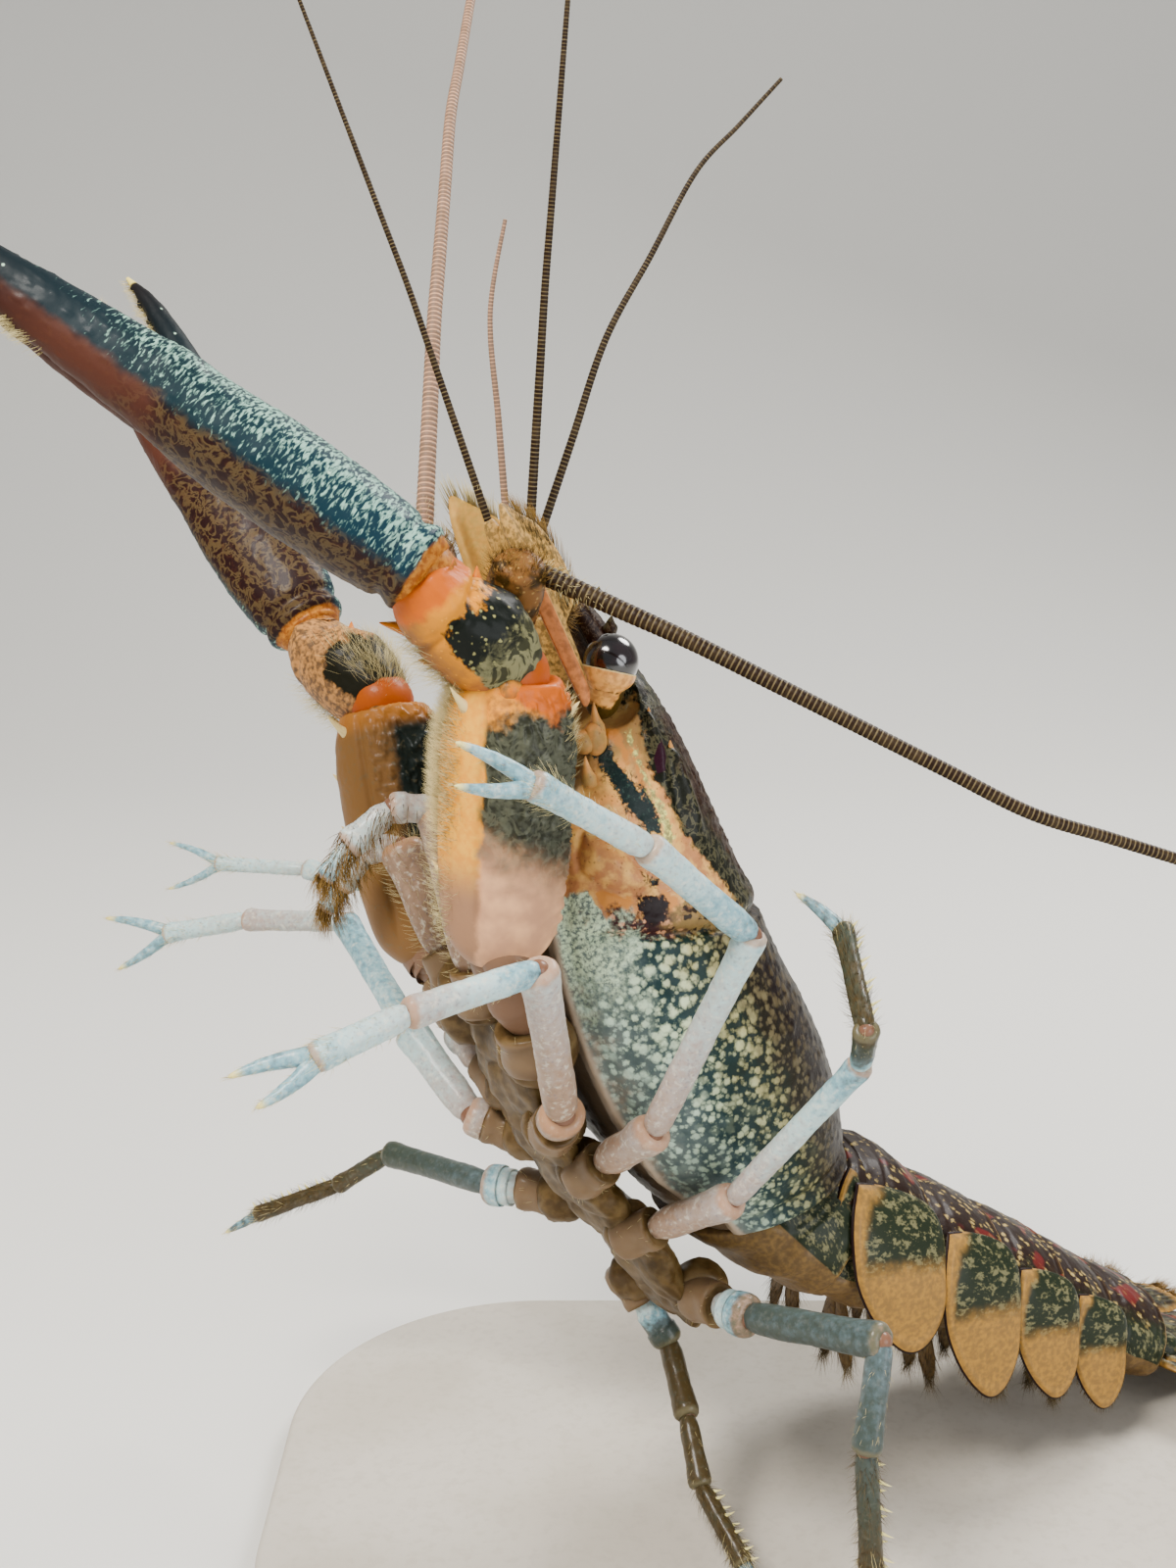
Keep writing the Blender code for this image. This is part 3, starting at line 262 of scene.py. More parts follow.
def grain(points, size, kind="noise"):
    """Noise over points at a size in millimetres: noise in -1 to 1, cell in 0 to 1 from a cell's middle out."""
    flat = (np.asarray(points).reshape(-1, 3) / size).tolist()
    if kind == "cell":
        values = [noise.voronoi(p)[0][0] for p in flat]
    elif kind == "wall":
        values = [(lambda d: d[1] - d[0])(noise.voronoi(p)[0]) for p in flat]
    else:
        values = [noise.noise(p) for p in flat]
    return np.array(values).reshape(np.asarray(points).shape[:-1])


class Form:
    """Points and faces of one piece, with place and tone at each point."""

    def __init__(self):
        self.points, self.place, self.tone, self.faces = [], [], [], []
        self.count = 0

    def rings(self, grid, place=None, tone=None, caps=True):
        """Adds closed rings with a point in the middle of each end."""
        rows, count = grid.shape[:2]
        place = grid if place is None else place
        tone = np.zeros_like(grid) if tone is None else np.broadcast_to(np.asarray(tone, float), grid.shape)
        base = self.count
        index = base + np.arange(rows * count).reshape(rows, count)
        a, b = index[:-1], np.roll(index, -1, 1)[:-1]
        c, d = np.roll(index, -1, 1)[1:], index[1:]
        self.faces += np.stack([a, b, c, d], -1).reshape(-1, 4).tolist()
        for array, target in ((grid, self.points), (place, self.place), (tone, self.tone)):
            target.append(array.reshape(-1, 3))
            target.append(np.stack([array[0].mean(0), array[-1].mean(0)]))
        first, last = base + rows * count, base + rows * count + 1
        if caps:
            for i in range(count):
                j = (i + 1) % count
                self.faces.append([int(index[0, j]), int(index[0, i]), first])
                self.faces.append([int(index[-1, i]), int(index[-1, j]), last])
        self.count += rows * count + 2

    def mesh(self, name, material, node=None, slot=None):
        """Makes the object, smooth, on the root body, in place of the named nodes."""
        mesh = bpy.data.meshes.new(name)
        points = np.concatenate(self.points)
        mesh.from_pydata((points * MM).tolist(), [], self.faces)
        for key, values in (("place", self.place), ("tone", self.tone)):
            layer = mesh.attributes.new(key, "FLOAT_VECTOR", "POINT")
            layer.data.foreach_set("vector", np.concatenate(values).astype(np.float32).ravel())
        mesh.polygons.foreach_set("use_smooth", [True] * len(mesh.polygons))
        mesh.update()
        flip_inward(mesh)
        obj = bpy.data.objects.new(name, mesh)
        bpy.context.scene.collection.objects.link(obj)
        mesh.materials.append(material)
        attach(obj, "root")
        if node:
            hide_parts(*([node] if isinstance(node, str) else node))
        return obj


def flip_inward(mesh):
    """Turns faces so that all normals look out."""
    bm = bmesh.new()
    bm.from_mesh(mesh)
    bmesh.ops.recalc_face_normals(bm, faces=bm.faces)
    bm.to_mesh(mesh)
    bm.free()


def linear(hexa):
    """Linear RGBA of an sRGB hex colour."""
    out = []
    for i in (1, 3, 5):
        v = int(hexa[i:i + 2], 16) / 255
        out.append(v / 12.92 if v <= 0.04045 else ((v + 0.055) / 1.055) ** 2.4)
    return (*out, 1.0)


def add(tree, kind, *inputs, out=0, stops=None, **settings):
    """Adds a node; inputs fill its sockets in order and settings its properties or named sockets."""
    node = tree.nodes.new("ShaderNode" + kind)
    pairs = list(enumerate(inputs))
    for key, value in settings.items():
        if key[0].isupper():
            pairs.append((key.replace("_", " "), value))
        else:
            setattr(node, key, value)
    for key, value in pairs:
        if value is None:
            continue
        socket = node.inputs[key]
        if isinstance(value, bpy.types.NodeSocket):
            tree.links.new(value, socket)
        elif isinstance(value, str):
            socket.default_value = linear(value)
        else:
            socket.default_value = value
    if stops:
        points = node.color_ramp.elements
        while len(points) < len(stops):
            points.new(0.5)
        for point, (place, colour) in zip(points, stops):
            point.position = place
            point.color = linear(colour) if isinstance(colour, str) else (colour, colour, colour, 1)
    return node.outputs[out]


def surface(name, colour, rough=0.42, depth=0.05, coat=0.0, through=0.0, shine=0.14):
    """Material whose colour function gives a colour, and may give a height for its bump."""
    mat = bpy.data.materials.new(name)
    mat.use_nodes = True
    tree = mat.node_tree
    shader = tree.nodes["Principled BSDF"]
    place = add(tree, "Attribute", attribute_name="place", out="Vector")
    tone = add(tree, "SeparateXYZ", add(tree, "Attribute", attribute_name="tone", out="Vector")).node.outputs
    made = colour(tree, place, tone)
    paint, height = made if isinstance(made, tuple) else (made, None)
    tree.links.new(paint, shader.inputs["Base Color"])
    shader.inputs["Roughness"].default_value = rough
    shader.inputs["IOR"].default_value = 1.5
    shader.inputs["Coat Weight"].default_value = coat
    shader.inputs["Coat Roughness"].default_value = 0.16
    shader.inputs["Specular IOR Level"].default_value = shine
    if through:
        shader.inputs["Subsurface Weight"].default_value = through
        shader.inputs["Subsurface Radius"].default_value = (0.0016, 0.0009, 0.0006)
        shader.inputs["Subsurface Scale"].default_value = 1.0
    if height:
        bumped = add(tree, "Bump", Strength=0.9, Distance=depth * MM, Height=height)
        tree.links.new(bumped, shader.inputs["Normal"])
    return mat


def mix(tree, share, one, two):
    return add(tree, "MixRGB", share, one, two)


def step(tree, value, low, high, a=0.0, b=1.0):
    return add(tree, "MapRange", value, low, high, a, b, interpolation_type="SMOOTHSTEP")


def maths(tree, operation, one, two=None):
    return add(tree, "Math", one, two, operation=operation)


def loosened(tree, value, place, scale, reach):
    """Value whose edges wander by up to reach."""
    wave = add(tree, "TexNoise", place, Scale=scale, Detail=4.0, Roughness=0.6)
    return maths(tree, "ADD", value, add(tree, "MapRange", wave, 0.3, 0.7, -reach, reach))


def dots(tree, place, scale, near, far, even=1.0, rough=0.1):
    """Round dots, 1 inside near and 0 past far, in shares of their spacing."""
    spot = add(tree, "TexVoronoi", place, Scale=scale, Randomness=even)
    return step(tree, loosened(tree, spot, place, scale * 3.2, rough), far, near)


def carapace_paint(tree, place, tone):
    """Chitin shell: dark teal with soft cream spots behind the groove, peach with dark patches before it.

    tone: x is how far a point lies before the groove, y orange over 0 and grey under it, z how far round
    toward the back. mark: how far inside the dark patches, the crown and the pale strips it lies."""
    mark = add(tree, "SeparateXYZ", add(tree, "Attribute", attribute_name="mark", out="Vector")).node.outputs
    fine = add(tree, "TexNoise", place, Scale=2.4, Detail=4.0, Roughness=0.65)
    round_it = loosened(tree, tone[2], place, 0.5, 0.035)
    # cream spots: large and bright toward the groove, denser and smaller behind
    large = dots(tree, place, 0.62, 0.2, 0.46, 0.85, 0.1)
    large = maths(tree, "MULTIPLY", large, step(tree, loosened(tree, tone[0], place, 0.2, 8.0), -20.0, -9.0, 0.1, 1.0))
    middle = dots(tree, place, 0.9, 0.2, 0.47, 0.9, 0.12)
    small = dots(tree, place, 1.35, 0.16, 0.44, 1.0, 0.14)
    fewer = step(tree, loosened(tree, tone[0], place, 0.2, 8.0), -30.0, -14.0, 0.55, 0.85)
    spots = maths(tree, "MAXIMUM", large, maths(tree, "MULTIPLY", middle, fewer))
    spots = maths(tree, "MAXIMUM", spots, maths(tree, "MULTIPLY", small, 0.5))
    ground = add(tree, "ValToRGB", round_it, stops=[
        (0.29, "#6D6458"), (0.325, "#606A66"), (0.365, "#485656"), (0.43, "#182F31"), (0.53, "#091B13"),
        (0.6, "#161204"), (0.7, "#0F0404"), (1.0, "#050404")])
    light = add(tree, "ValToRGB", round_it, stops=[
        (0.29, "#9A8C7B"), (0.34, "#BEDBC7"), (0.42, "#D0E2BB"), (0.52, "#B5AF78"), (0.6, "#6F6446"),
        (0.7, "#4A3F29"), (1.0, "#382B21")])
    thorax = mix(tree, maths(tree, "MULTIPLY", spots, 0.88), ground, light)
    # blue grey haze of fine dots low down toward the groove
    haze = mix(tree, step(tree, fine, 0.36, 0.6), "#5E6C69", "#C9DFBB")
    front = step(tree, loosened(tree, tone[0], place, 0.3, 2.5), -9.0, -1.0)
    thorax = mix(tree, maths(tree, "MULTIPLY", front, step(tree, round_it, 0.41, 0.35)), thorax, haze)
    # cheeks: peach to cream, orange and grey where marked, with dark freckles
    cheek = mix(tree, step(tree, loosened(tree, tone[0], place, 0.3, 4.0), 8.0, 16.0), "#AF7549", "#E49B4F")
    cheek = mix(tree, step(tree, add(tree, "TexNoise", place, Scale=0.7, Detail=3.0), 0.4, 0.62, 0.0, 0.6), cheek, "#EDBB62")
    # Darker olive brown toward the front of the cheek, below the eye: painted shade.
    cheek = mix(tree, step(tree, loosened(tree, tone[0], place, 0.4, 2.0), 14.5, 18.5, 0.0, 0.75), cheek, "#665432")
    cheek = mix(tree, maths(tree, "MULTIPLY", dots(tree, place, 1.5, 0.1, 0.2), 0.5), cheek, "#563426")
    cheek = mix(tree, step(tree, loosened(tree, tone[1], place, 1.0, 0.3), 0.2, 0.6), cheek, "#BD7A36")
    cheek = mix(tree, step(tree, loosened(tree, tone[1], place, 0.8, 0.3), -0.2, -0.6), cheek, haze)
    # band before the groove: pink dots on purple black low down, tan above
    knots = mix(tree, dots(tree, place, 1.1, 0.2, 0.4, 1.0, 0.18), "#311518", "#CF936C")
    knots = mix(tree, step(tree, round_it, 0.4, 0.36), knots, haze)
    sandy = mix(tree, dots(tree, place, 0.9, 0.2, 0.36, 1.0, 0.16), "#7C6337", "#221706")
    knots = mix(tree, step(tree, round_it, 0.46, 0.52), knots, sandy)
    head = mix(tree, step(tree, loosened(tree, tone[0], place, 0.6, 1.4), 3.6, 2.4), cheek, knots)
    dark = step(tree, loosened(tree, loosened(tree, mark[0], place, 0.8, 0.5), place, 3.0, 0.35), -0.15, 0.4)
    teal = mix(tree, step(tree, fine, 0.52, 0.7, 0.0, 0.75), "#041715", "#2D443C")
    teal = mix(tree, step(tree, tone[0], 6.5, 5.0), teal, "#120404")
    head = mix(tree, dark, head, teal)
    # the crown: brown black with tan worming, purple farther in
    crown = mix(tree, worming(tree, place, 0.8, 0.06), "#0D0F04", "#46432F")
    deep = mix(tree, worming(tree, place, 1.0, 0.035), "#220E04", "#49392C")
    crown = mix(tree, step(tree, loosened(tree, mark[1], place, 0.4, 1.6), 2.0, 4.5), crown, deep)
    head = mix(tree, step(tree, loosened(tree, mark[1], place, 1.2, 0.5), -0.2, 0.5), head, crown)
    pale = mix(tree, step(tree, fine, 0.4, 0.65), "#8A824F", "#E5DF78")
    head = mix(tree, step(tree, loosened(tree, mark[2], place, 1.6, 0.35), -0.1, 0.3), head, pale)
    head = mix(tree, step(tree, mark[2], -8.5, -9.5), head, "#240415")
    split = step(tree, loosened(tree, tone[0], place, 0.6, 1.0), -0.4, 0.3)
    paint = mix(tree, split, thorax, head)
    # the raised edge of the gill cover, and thin skin beyond it
    rim = maths(tree, "MULTIPLY", step(tree, tone[2], 0.312, 0.302), step(tree, tone[0], 18.0, 14.0))
    paint = mix(tree, rim, paint, "#A3917D")
    under = maths(tree, "MULTIPLY", step(tree, tone[2], 0.276, 0.266), step(tree, tone[0], 18.0, 14.0))
    paint = mix(tree, under, paint, "#665644")
    return paint, maths(tree, "ADD", maths(tree, "MULTIPLY", spots, 0.4), fine)


# Outlines of marks on the side of the head, as places S and UP
DARK_MARKS = [
    [(57.1, 0.3), (56.1, 1.4), (53.7, 1.8), (51.0, 2.7), (49.3, 3.2), (47.4, 3.1), (45.6, 2.8), (47.4, 0.8),
     (50.3, -0.1), (52.2, -0.2), (54.8, -0.3)],
    [(41.9, -2.2), (40.4, 0.8), (38.3, 0.2), (37.9, -1.9), (39.5, -2.8)],
    [(39.7, 2.5), (38.7, 4.1), (37.9, 3.5), (38.6, 2.3)],
    [(44.0, -0.4), (42.0, 0.6), (41.4, -0.3), (42.8, -1.0)],
]
PALE_MARKS = [
    [(52.3, 3.5), (50.5, 3.8), (48.2, 4.1), (45.3, 3.9), (44.5, 3.0), (45.9, 2.5), (47.4, 3.0), (49.3, 3.1), (50.8, 3.0)],
    [(56.2, 3.6), (54.0, 3.2), (52.1, 3.2), (52.0, 3.7), (54.2, 3.8), (56.2, 4.2)],
]
ORANGE_MARKS = [
    [(57.8, 1.9), (56.8, 3.4), (55.2, 3.0), (53.0, 2.7), (53.2, 2.0), (55.3, 2.1), (57.0, 1.5)],
    [(54.6, 3.6), (52.5, 3.4), (50.7, 3.0), (51.2, 2.5), (52.8, 2.7), (54.5, 3.0)],
    [(44.2, -6.0), (43.4, -4.7), (41.5, -2.4), (39.8, -2.6), (39.4, -3.9), (41.0, -5.4), (42.4, -6.1)],
    [(41.5, 0.5), (39.9, 1.9), (38.8, 1.5), (39.1, 0.0), (40.3, 0.0)],
]
PURPLE_MARK = [(54.3, 6.2), (52.8, 6.2), (51.1, 5.4), (51.3, 4.7), (53.1, 5.0)]
# The raised cheek lobe, and where the dark crown begins along the head
CHEEK_LOBE = [
    (48.6, -4.2), (48.0, -3.2), (46.3, -2.0), (44.9, -1.3), (43.1, -0.2), (41.9, -0.3), (42.0, -2.3), (43.2, -3.9),
    (44.3, -5.0), (45.6, -5.7), (47.0, -5.3),
]
CROWN_EDGE = [(34.0, 8.6), (37.3, 7.7), (40.7, 6.4), (43.8, 5.2), (47.0, 4.7), (49.7, 4.3), (51.8, 4.1), (53.9, 4.4),
              (56.0, 5.2), (58.5, 6.2), (61.0, 6.4), (71.6, 4.2)]


def inside(s, up, outline):
    """Millimetres from points to an outline's edge, positive inside it."""
    far, odd = np.full(s.shape, 99.0), np.zeros(s.shape, bool)
    for (a, b), (c, d) in zip(outline, outline[1:] + outline[:1]):
        part = np.clip(((s - a) * (c - a) + (up - b) * (d - b)) / ((c - a) ** 2 + (d - b) ** 2), 0, 1)
        far = np.minimum(far, np.hypot(s - a - part * (c - a), up - b - part * (d - b)))
        odd ^= ((b > up) != (d > up)) & (s < a + (c - a) * (up - b) / (d - b + 1e-9))
    return np.where(odd, far, -far)


def shell_section(rows, count):
    """Rings of the carapace for rows of S, half width, back height, belly height; also how far round each point is."""
    t = 2 * math.pi * (np.arange(count) + 0.5) / count
    c, k = np.cos(t), np.sin(t)
    s, half, top, low = (rows[:, i:i + 1] for i in range(4))
    middle = low + 0.52 * (top - low)
    over = np.clip(k, 0, None) ** 0.94
    under = np.clip(-k, 0, None) ** 0.8
    up = middle + (top - middle) * over - (middle - low) * under
    wide = np.where(k >= 0, np.abs(c) ** 0.94, np.abs(c) ** 0.72) * half
    rim = np.interp(s, *np.array(SHELL_RIM).T)
    edge = np.sin(np.radians(rim))
    step = np.minimum(0.9, 0.08 * half) * ramp(k, edge, edge - 0.05)
    wide = np.maximum(0.1 * half * np.abs(c), wide - step)
    up = up + step * 0.5
    return s, up, wide * np.sign(c), np.degrees(np.arcsin(k))[None, :] + 0 * s, rim


def build_carapace(mats):
    """One shell from its rear rim to the tip of the rostrum, with groove, rim, ridges, orbits and spines."""
    count = 260
    spacing = 0.34
    rows = fill(THORAX_FORM + HEAD_FORM + ROSTRUM_FORM, spacing, 1)
    s, up, left, turn, edge = shell_section(rows, count)
    share = np.where(s < GROOVE_S, (s / GROOVE_S) ** 2, np.clip((58.5 - s) / (58.5 - GROOVE_S), 0, 1))
    run = s + GROOVE_SLOPE * share * (up - 2.0)
    grid = BODY_REAR + run[..., None] * FORE + up[..., None] * BACK + left[..., None] * LEFT
    # sockets that the eyes stand in
    for sign in (1, -1):
        hollow = body(ORBIT_AT[0], ORBIT_AT[1], ORBIT_AT[2] * sign)
        away = grid - hollow
        far = np.linalg.norm(away, axis=-1, keepdims=True)
        pushed = hollow + away / far * (ORBIT_RADIUS + 0.25 * np.clip(far - ORBIT_RADIUS, 0, None))
        grid = np.where(far < ORBIT_RADIUS, hollow + unit(away) * ORBIT_RADIUS, grid)
    groove = s - GROOVE_S
    height = -0.75 * np.exp(-(groove / 0.55) ** 2) * ramp(turn, -60, -30)
    height = height + 0.3 * np.exp(-((groove - 1.6) / 1.0) ** 2) * ramp(turn, -60, -30)
    rim = np.exp(-((turn - edge - 3) / 2.5) ** 2) * ramp(s, 0, 3) * ramp(s, 57, 50)
    height = height + 0.35 * rim - 0.2 * np.exp(-((turn - edge - 10) / 3.5) ** 2) * ramp(s, 1, 4) * ramp(s, 50, 44)
    # rolled rear edge
    height = height + 0.45 * np.exp(-((s - 0.9) / 0.7) ** 2) - 0.5 * np.exp(-((s - 2.5) / 0.7) ** 2)
    # the two lines along the back that bound the gill chambers
    height = height - 0.28 * np.exp(-((np.abs(left) - 2.2 - 0.004 * (s - 16) ** 2) / 0.5) ** 2) * (turn > 30) * ramp(
        s, 2, 6) * ramp(s, 35, 31)
    for front, back, angle in HEAD_RIDGES:
        along = ramp(s, back - 1, back + 5) * ramp(s, front + 0.3, front - 1.6)
        height = height + 0.8 * along * np.exp(-((turn - angle) / 5.0) ** 2)
        height = height - 0.3 * along * np.exp(-((turn - angle + 11) / 4.5) ** 2)
    cheek = inside(run, up, CHEEK_LOBE)
    height = height + 0.75 * ramp(cheek, -0.2, 1.2) - 0.45 * np.exp(-((cheek + 0.3) / 0.28) ** 2) * ramp(up, 1.5, -1.0)
    granules = 1 - ramp(grain(grid, 1.15, "cell"), 0.1, 0.5)
    height = height + 0.1 * granules * ramp(s, 0, 4) * ramp(s, 62, 56) + 0.07 * grain(grid, 3.0)
    rough_back = np.clip(1 - np.abs(grain(grid, 0.9)) * 6, 0, 1) * ramp(turn, 30, 50) * ramp(s, 33, 38) * 0.12
    height = height + rough_back
    grid = lift(grid, height * ramp(s, 0.0, 0.8) * ramp(s, 71.6, 70))
    warm = np.max([inside(run, up, mark) for mark in ORANGE_MARKS], 0)
    grey = ramp(up, -5.2, -6.4) * ramp(run, 44.5, 42.5)
    above = turn - edge
    high = np.where(above < 0, 0.289 + above / 180, np.where(
        above < 10, 0.289 + 0.0036 * above, 0.325 + 0.064 * (above - 10) / (-20 - edge - 10)))
    high = np.where(turn > -20, 0.5 + turn / 180, high)
    tone = np.stack([groove + 0 * turn, np.clip(warm + 0.3, 0, 1) - grey, high], -1)
    dark = np.max([inside(run, up, mark) for mark in DARK_MARKS], 0)
    crown = np.maximum(up - np.interp(run, *np.array(CROWN_EDGE).T), run - 58.5)
    pale = np.max([inside(run, up, mark) for mark in PALE_MARKS], 0)
    pale = np.where(inside(run, up, PURPLE_MARK) > 0, -10, np.maximum(pale, -5))
    form = Form()
    form.rings(grid, in_body(grid), tone)
    marks = np.stack([dark, crown, pale], -1)
    pale = (17.0, 0.0, 0.5)
    for sign in (1, -1):
        for at, left_at in ROSTRUM_TEETH:
            thorn(form, body(at, 7.2, left_at * sign) - FORE * 0.4, unit(FORE * 0.8 + LEFT * sign * 0.5), 1.6, 0.75, pale)
    dark_to = form.count
    for sign in (1, -1):
        at, up_left, left_at = FRONT_LOBE
        ball(form, body(at, up_left, left_at * sign), 1.5, FORE + LEFT * sign * 0.3, pale, (1.3, 0.8))
        ball(form, body(at + 0.3, up_left - 1.2, left_at * sign), 1.2, FORE, pale, (1.1, 0.9))
        for at, up_at, left_at, length in FRONT_SPINES:
            thorn(form, body(at, up_at, left_at * sign), unit(FORE + LEFT * sign * 0.1), length, 0.75, pale)
        for front, back, angle in HEAD_RIDGES:
            row = [np.interp(front, rows[:, 0], rows[:, i]) for i in range(4)]
            _, u, x, _, _ = shell_section(np.array([row]), 720)
            k = round(angle * 2)
            thorn(form, body(front - 1.4 + GROOVE_SLOPE * 0.05, u[0, k], x[0, k] * sign), unit(FORE + LEFT * sign * 0.2),
                  1.5, 0.6, pale)
    shell = form.mesh("carapace", mats["carapace"], ["carapace_thorax", "carapace_head"], "shell_speckled")
    values = np.full((form.count, 3), -5.0)
    values[:marks[..., 0].size] = marks.reshape(-1, 3)
    values[marks[..., 0].size:dark_to, 1] = 3.0
    shell.data.attributes.new("mark", "FLOAT_VECTOR", "POINT").data.foreach_set("vector", values.astype(np.float32).ravel())


def thorn(form, at, way, length, radius, tone, bend=None, count=12):
    """Smooth spine, a little bent, with its root sunk in."""
    side, over = across(way)
    bend = over if bend is None else bend
    rows = []
    for part, wide in ((-0.35, 0.9), (0.0, 1.0), (0.25, 0.72), (0.5, 0.5), (0.75, 0.3), (0.93, 0.13), (1.0, 0.04)):
        p = at + way * part * length + bend * length * 0.12 * max(part, 0) ** 2
        rows.append((*p, radius * wide, radius * wide))
    grid = tube(rows, side, count)
    form.rings(grid, grid - at, tone)


def ball(form, centre, radius, axis, tone, stretch=(1.0, 1.0), count=28, place=None):
    """Round form, longer along its axis by the first stretch."""
    side, over = across(unit(axis))
    axis = unit(axis)
    rows = []
    for k in range(count // 2 + 1):
        t = math.pi * (k + 0.5) / (count // 2 + 1)
        r = radius * math.sin(t) * stretch[1]
        rows.append((*(centre - axis * radius * stretch[0] * math.cos(t)), r, r))
    grid = tube(rows, side, count)
    form.rings(grid, grid - centre if place is None else place + grid - centre, tone)


def worming(tree, place, scale, wide=0.05):
    """Winding lines of a given width, 1 on the line."""
    wave = add(tree, "TexNoise", place, Scale=scale, Detail=3.0, Roughness=0.6, Distortion=0.6)
    wave = maths(tree, "ABSOLUTE", maths(tree, "SUBTRACT", wave, 0.5))
    return step(tree, wave, wide, wide * 0.25)


def leg_paint(tree, place, tone):
    """Pale leg shell: x runs from tan over lilac white and blue to grey brown, y nears a joint, z is horn."""
    fine = add(tree, "TexNoise", place, Scale=1.6, Detail=4.0)
    tint = loosened(tree, tone[0], place, 1.2, 0.06)
    base = add(tree, "ValToRGB", tint, stops=[
        (0.0, "#7A614D"), (0.15, "#997E69"), (0.3, "#A79B94"), (0.48, "#B4CECE"), (0.58, "#76A1AD"), (0.66, "#4D5C5F"),
        (0.75, "#3B4542"), (0.88, "#333A2F"), (1.0, "#3F331C")])
    specks = dots(tree, place, 1.6, 0.1, 0.34, 1.0, 0.2)
    plain = step(tree, tint, 0.6, 0.72)
    base = mix(tree, maths(tree, "MULTIPLY", specks, 0.35), base, mix(tree, plain, "#666372", "#30342D"))
    light = step(tree, fine, 0.52, 0.7, 0.0, 0.4)
    base = mix(tree, maths(tree, "MULTIPLY", light, step(tree, tint, 0.64, 0.54, 0.08, 1.0)), base, "#E4DFCC")
    warm = step(tree, loosened(tree, tone[1], place, 1.4, 0.12), 0.4, 0.95, 0.0, 0.7)
    base = mix(tree, warm, base, mix(tree, plain, "#A77A55", "#635C43"))
    base = mix(tree, step(tree, tone[1], 1.5, 1.6), base, "#6F4D3B")
    return mix(tree, step(tree, tone[2], 0.72, 0.92), base, "#E4D588"), fine


def arm_paint(tree, place, tone):
    """Long piece of the claw's arm: x from its inner to its outer edge, y along it, z over 1 a spine."""
    fine = add(tree, "TexNoise", place, Scale=1.4, Detail=4.0)
    dark = mix(tree, step(tree, fine, 0.4, 0.68), "#232418", "#3F4134")
    dark = mix(tree, maths(tree, "MULTIPLY", worming(tree, place, 0.5, 0.08), 0.4), dark, "#5F614F")
    # Pale tan pink on the smooth lower bulge: partly the arm's own tan, partly a painted highlight.
    smooth = mix(tree, step(tree, add(tree, "TexNoise", place, Scale=0.4, Detail=2.0), 0.3, 0.8), "#B98968", "#E1AA7D")
    share = maths(tree, "ADD", loosened(tree, tone[1], place, 0.35, 0.05), maths(tree, "MULTIPLY", tone[0], 0.1))
    outer = mix(tree, step(tree, share, 0.24, 0.52), smooth, dark)
    peach = mix(tree, step(tree, fine, 0.35, 0.65), "#B8742A", "#E89522")
    top = maths(tree, "ADD", share, maths(tree, "MULTIPLY", tone[0], -0.16))
    outer = mix(tree, step(tree, top, 0.84, 0.93), outer, peach)
    inner = mix(tree, step(tree, fine, 0.35, 0.65), "#E19421", "#E8A632")
    inner = mix(tree, step(tree, tone[1], 0.42, 0.2), inner, "#966F52")
    paint = mix(tree, step(tree, loosened(tree, tone[0], place, 0.35, 0.08), -0.42, -0.3), inner, outer)
    paint = mix(tree, step(tree, share, 0.94, 1.0), paint, "#B85604")
    # the far arm is tan with a blue black outer edge
    far = mix(tree, step(tree, loosened(tree, tone[0], place, 0.35, 0.15), 0.0, 0.3), "#78552D", "#111C18")
    far = mix(tree, step(tree, fine, 0.55, 0.72, 0.0, 0.45), far, "#635B43")
    far = mix(tree, step(tree, tone[1], 0.86, 0.95), far, "#A26624")
    paint = mix(tree, step(tree, tone[2], 0.45, 0.5), paint, far)
    paint = mix(tree, step(tree, tone[1], 1.4, 1.5), paint, mix(tree, step(tree, tone[1], 1.7, 1.8), "#6F533F", "#A64A04"))
    return mix(tree, step(tree, tone[2], 1.5, 1.6), paint, "#E4CB8A"), fine


def wrist_paint(tree, place, tone):
    """Wrist: dark green patch with cream dots and pale streaks on the outer side, orange round the hand."""
    fine = add(tree, "TexNoise", place, Scale=1.8, Detail=4.0)
    patch = mix(tree, dots(tree, place, 1.3, 0.17, 0.29, 1.0, 0.08), "#040A04", "#868251")
    streak = worming(tree, place, 0.55, 0.1)
    low = step(tree, loosened(tree, tone[1], place, 0.6, 0.1), 0.42, 0.22)
    patch = mix(tree, low, patch, mix(tree, streak, "#30301E", "#767350"))
    orange = mix(tree, step(tree, loosened(tree, tone[0], place, 0.4, 0.2), -0.9, -0.2), "#8A5826", "#CC800C")
    orange = mix(tree, step(tree, loosened(tree, tone[1], place, 0.4, 0.1), 0.35, 0.1), orange, "#8F552D")
    orange = mix(tree, maths(tree, "MULTIPLY", dots(tree, place, 1.4, 0.1, 0.24), 0.6), orange, "#E59C22")
    orange = mix(tree, step(tree, loosened(tree, tone[1], place, 0.5, 0.04), 0.84, 0.93), orange, "#B85604")
    area = maths(tree, "MINIMUM", maths(tree, "SUBTRACT", 0.74, tone[1]), maths(tree, "ADD", tone[0], 0.28))
    area = loosened(tree, area, place, 0.5, 0.1)
    dark_share = maths(tree, "MULTIPLY", step(tree, area, 0.0, 0.08), step(tree, tone[2], 0.6, 0.4))
    paint = mix(tree, dark_share, orange, patch)
    # the far wrist is brown with a small dark patch
    far = mix(tree, step(tree, fine, 0.35, 0.65), "#634930", "#BC8448")
    spot = maths(tree, "MULTIPLY", step(tree, area, 0.25, 0.35), step(tree, tone[1], 0.6, 0.5))
    far = mix(tree, spot, far, "#131204")
    paint = mix(tree, step(tree, tone[2], 0.6, 0.8), paint, far)
    return mix(tree, step(tree, tone[2], 1.5, 1.6), paint, "#E5C582"), fine


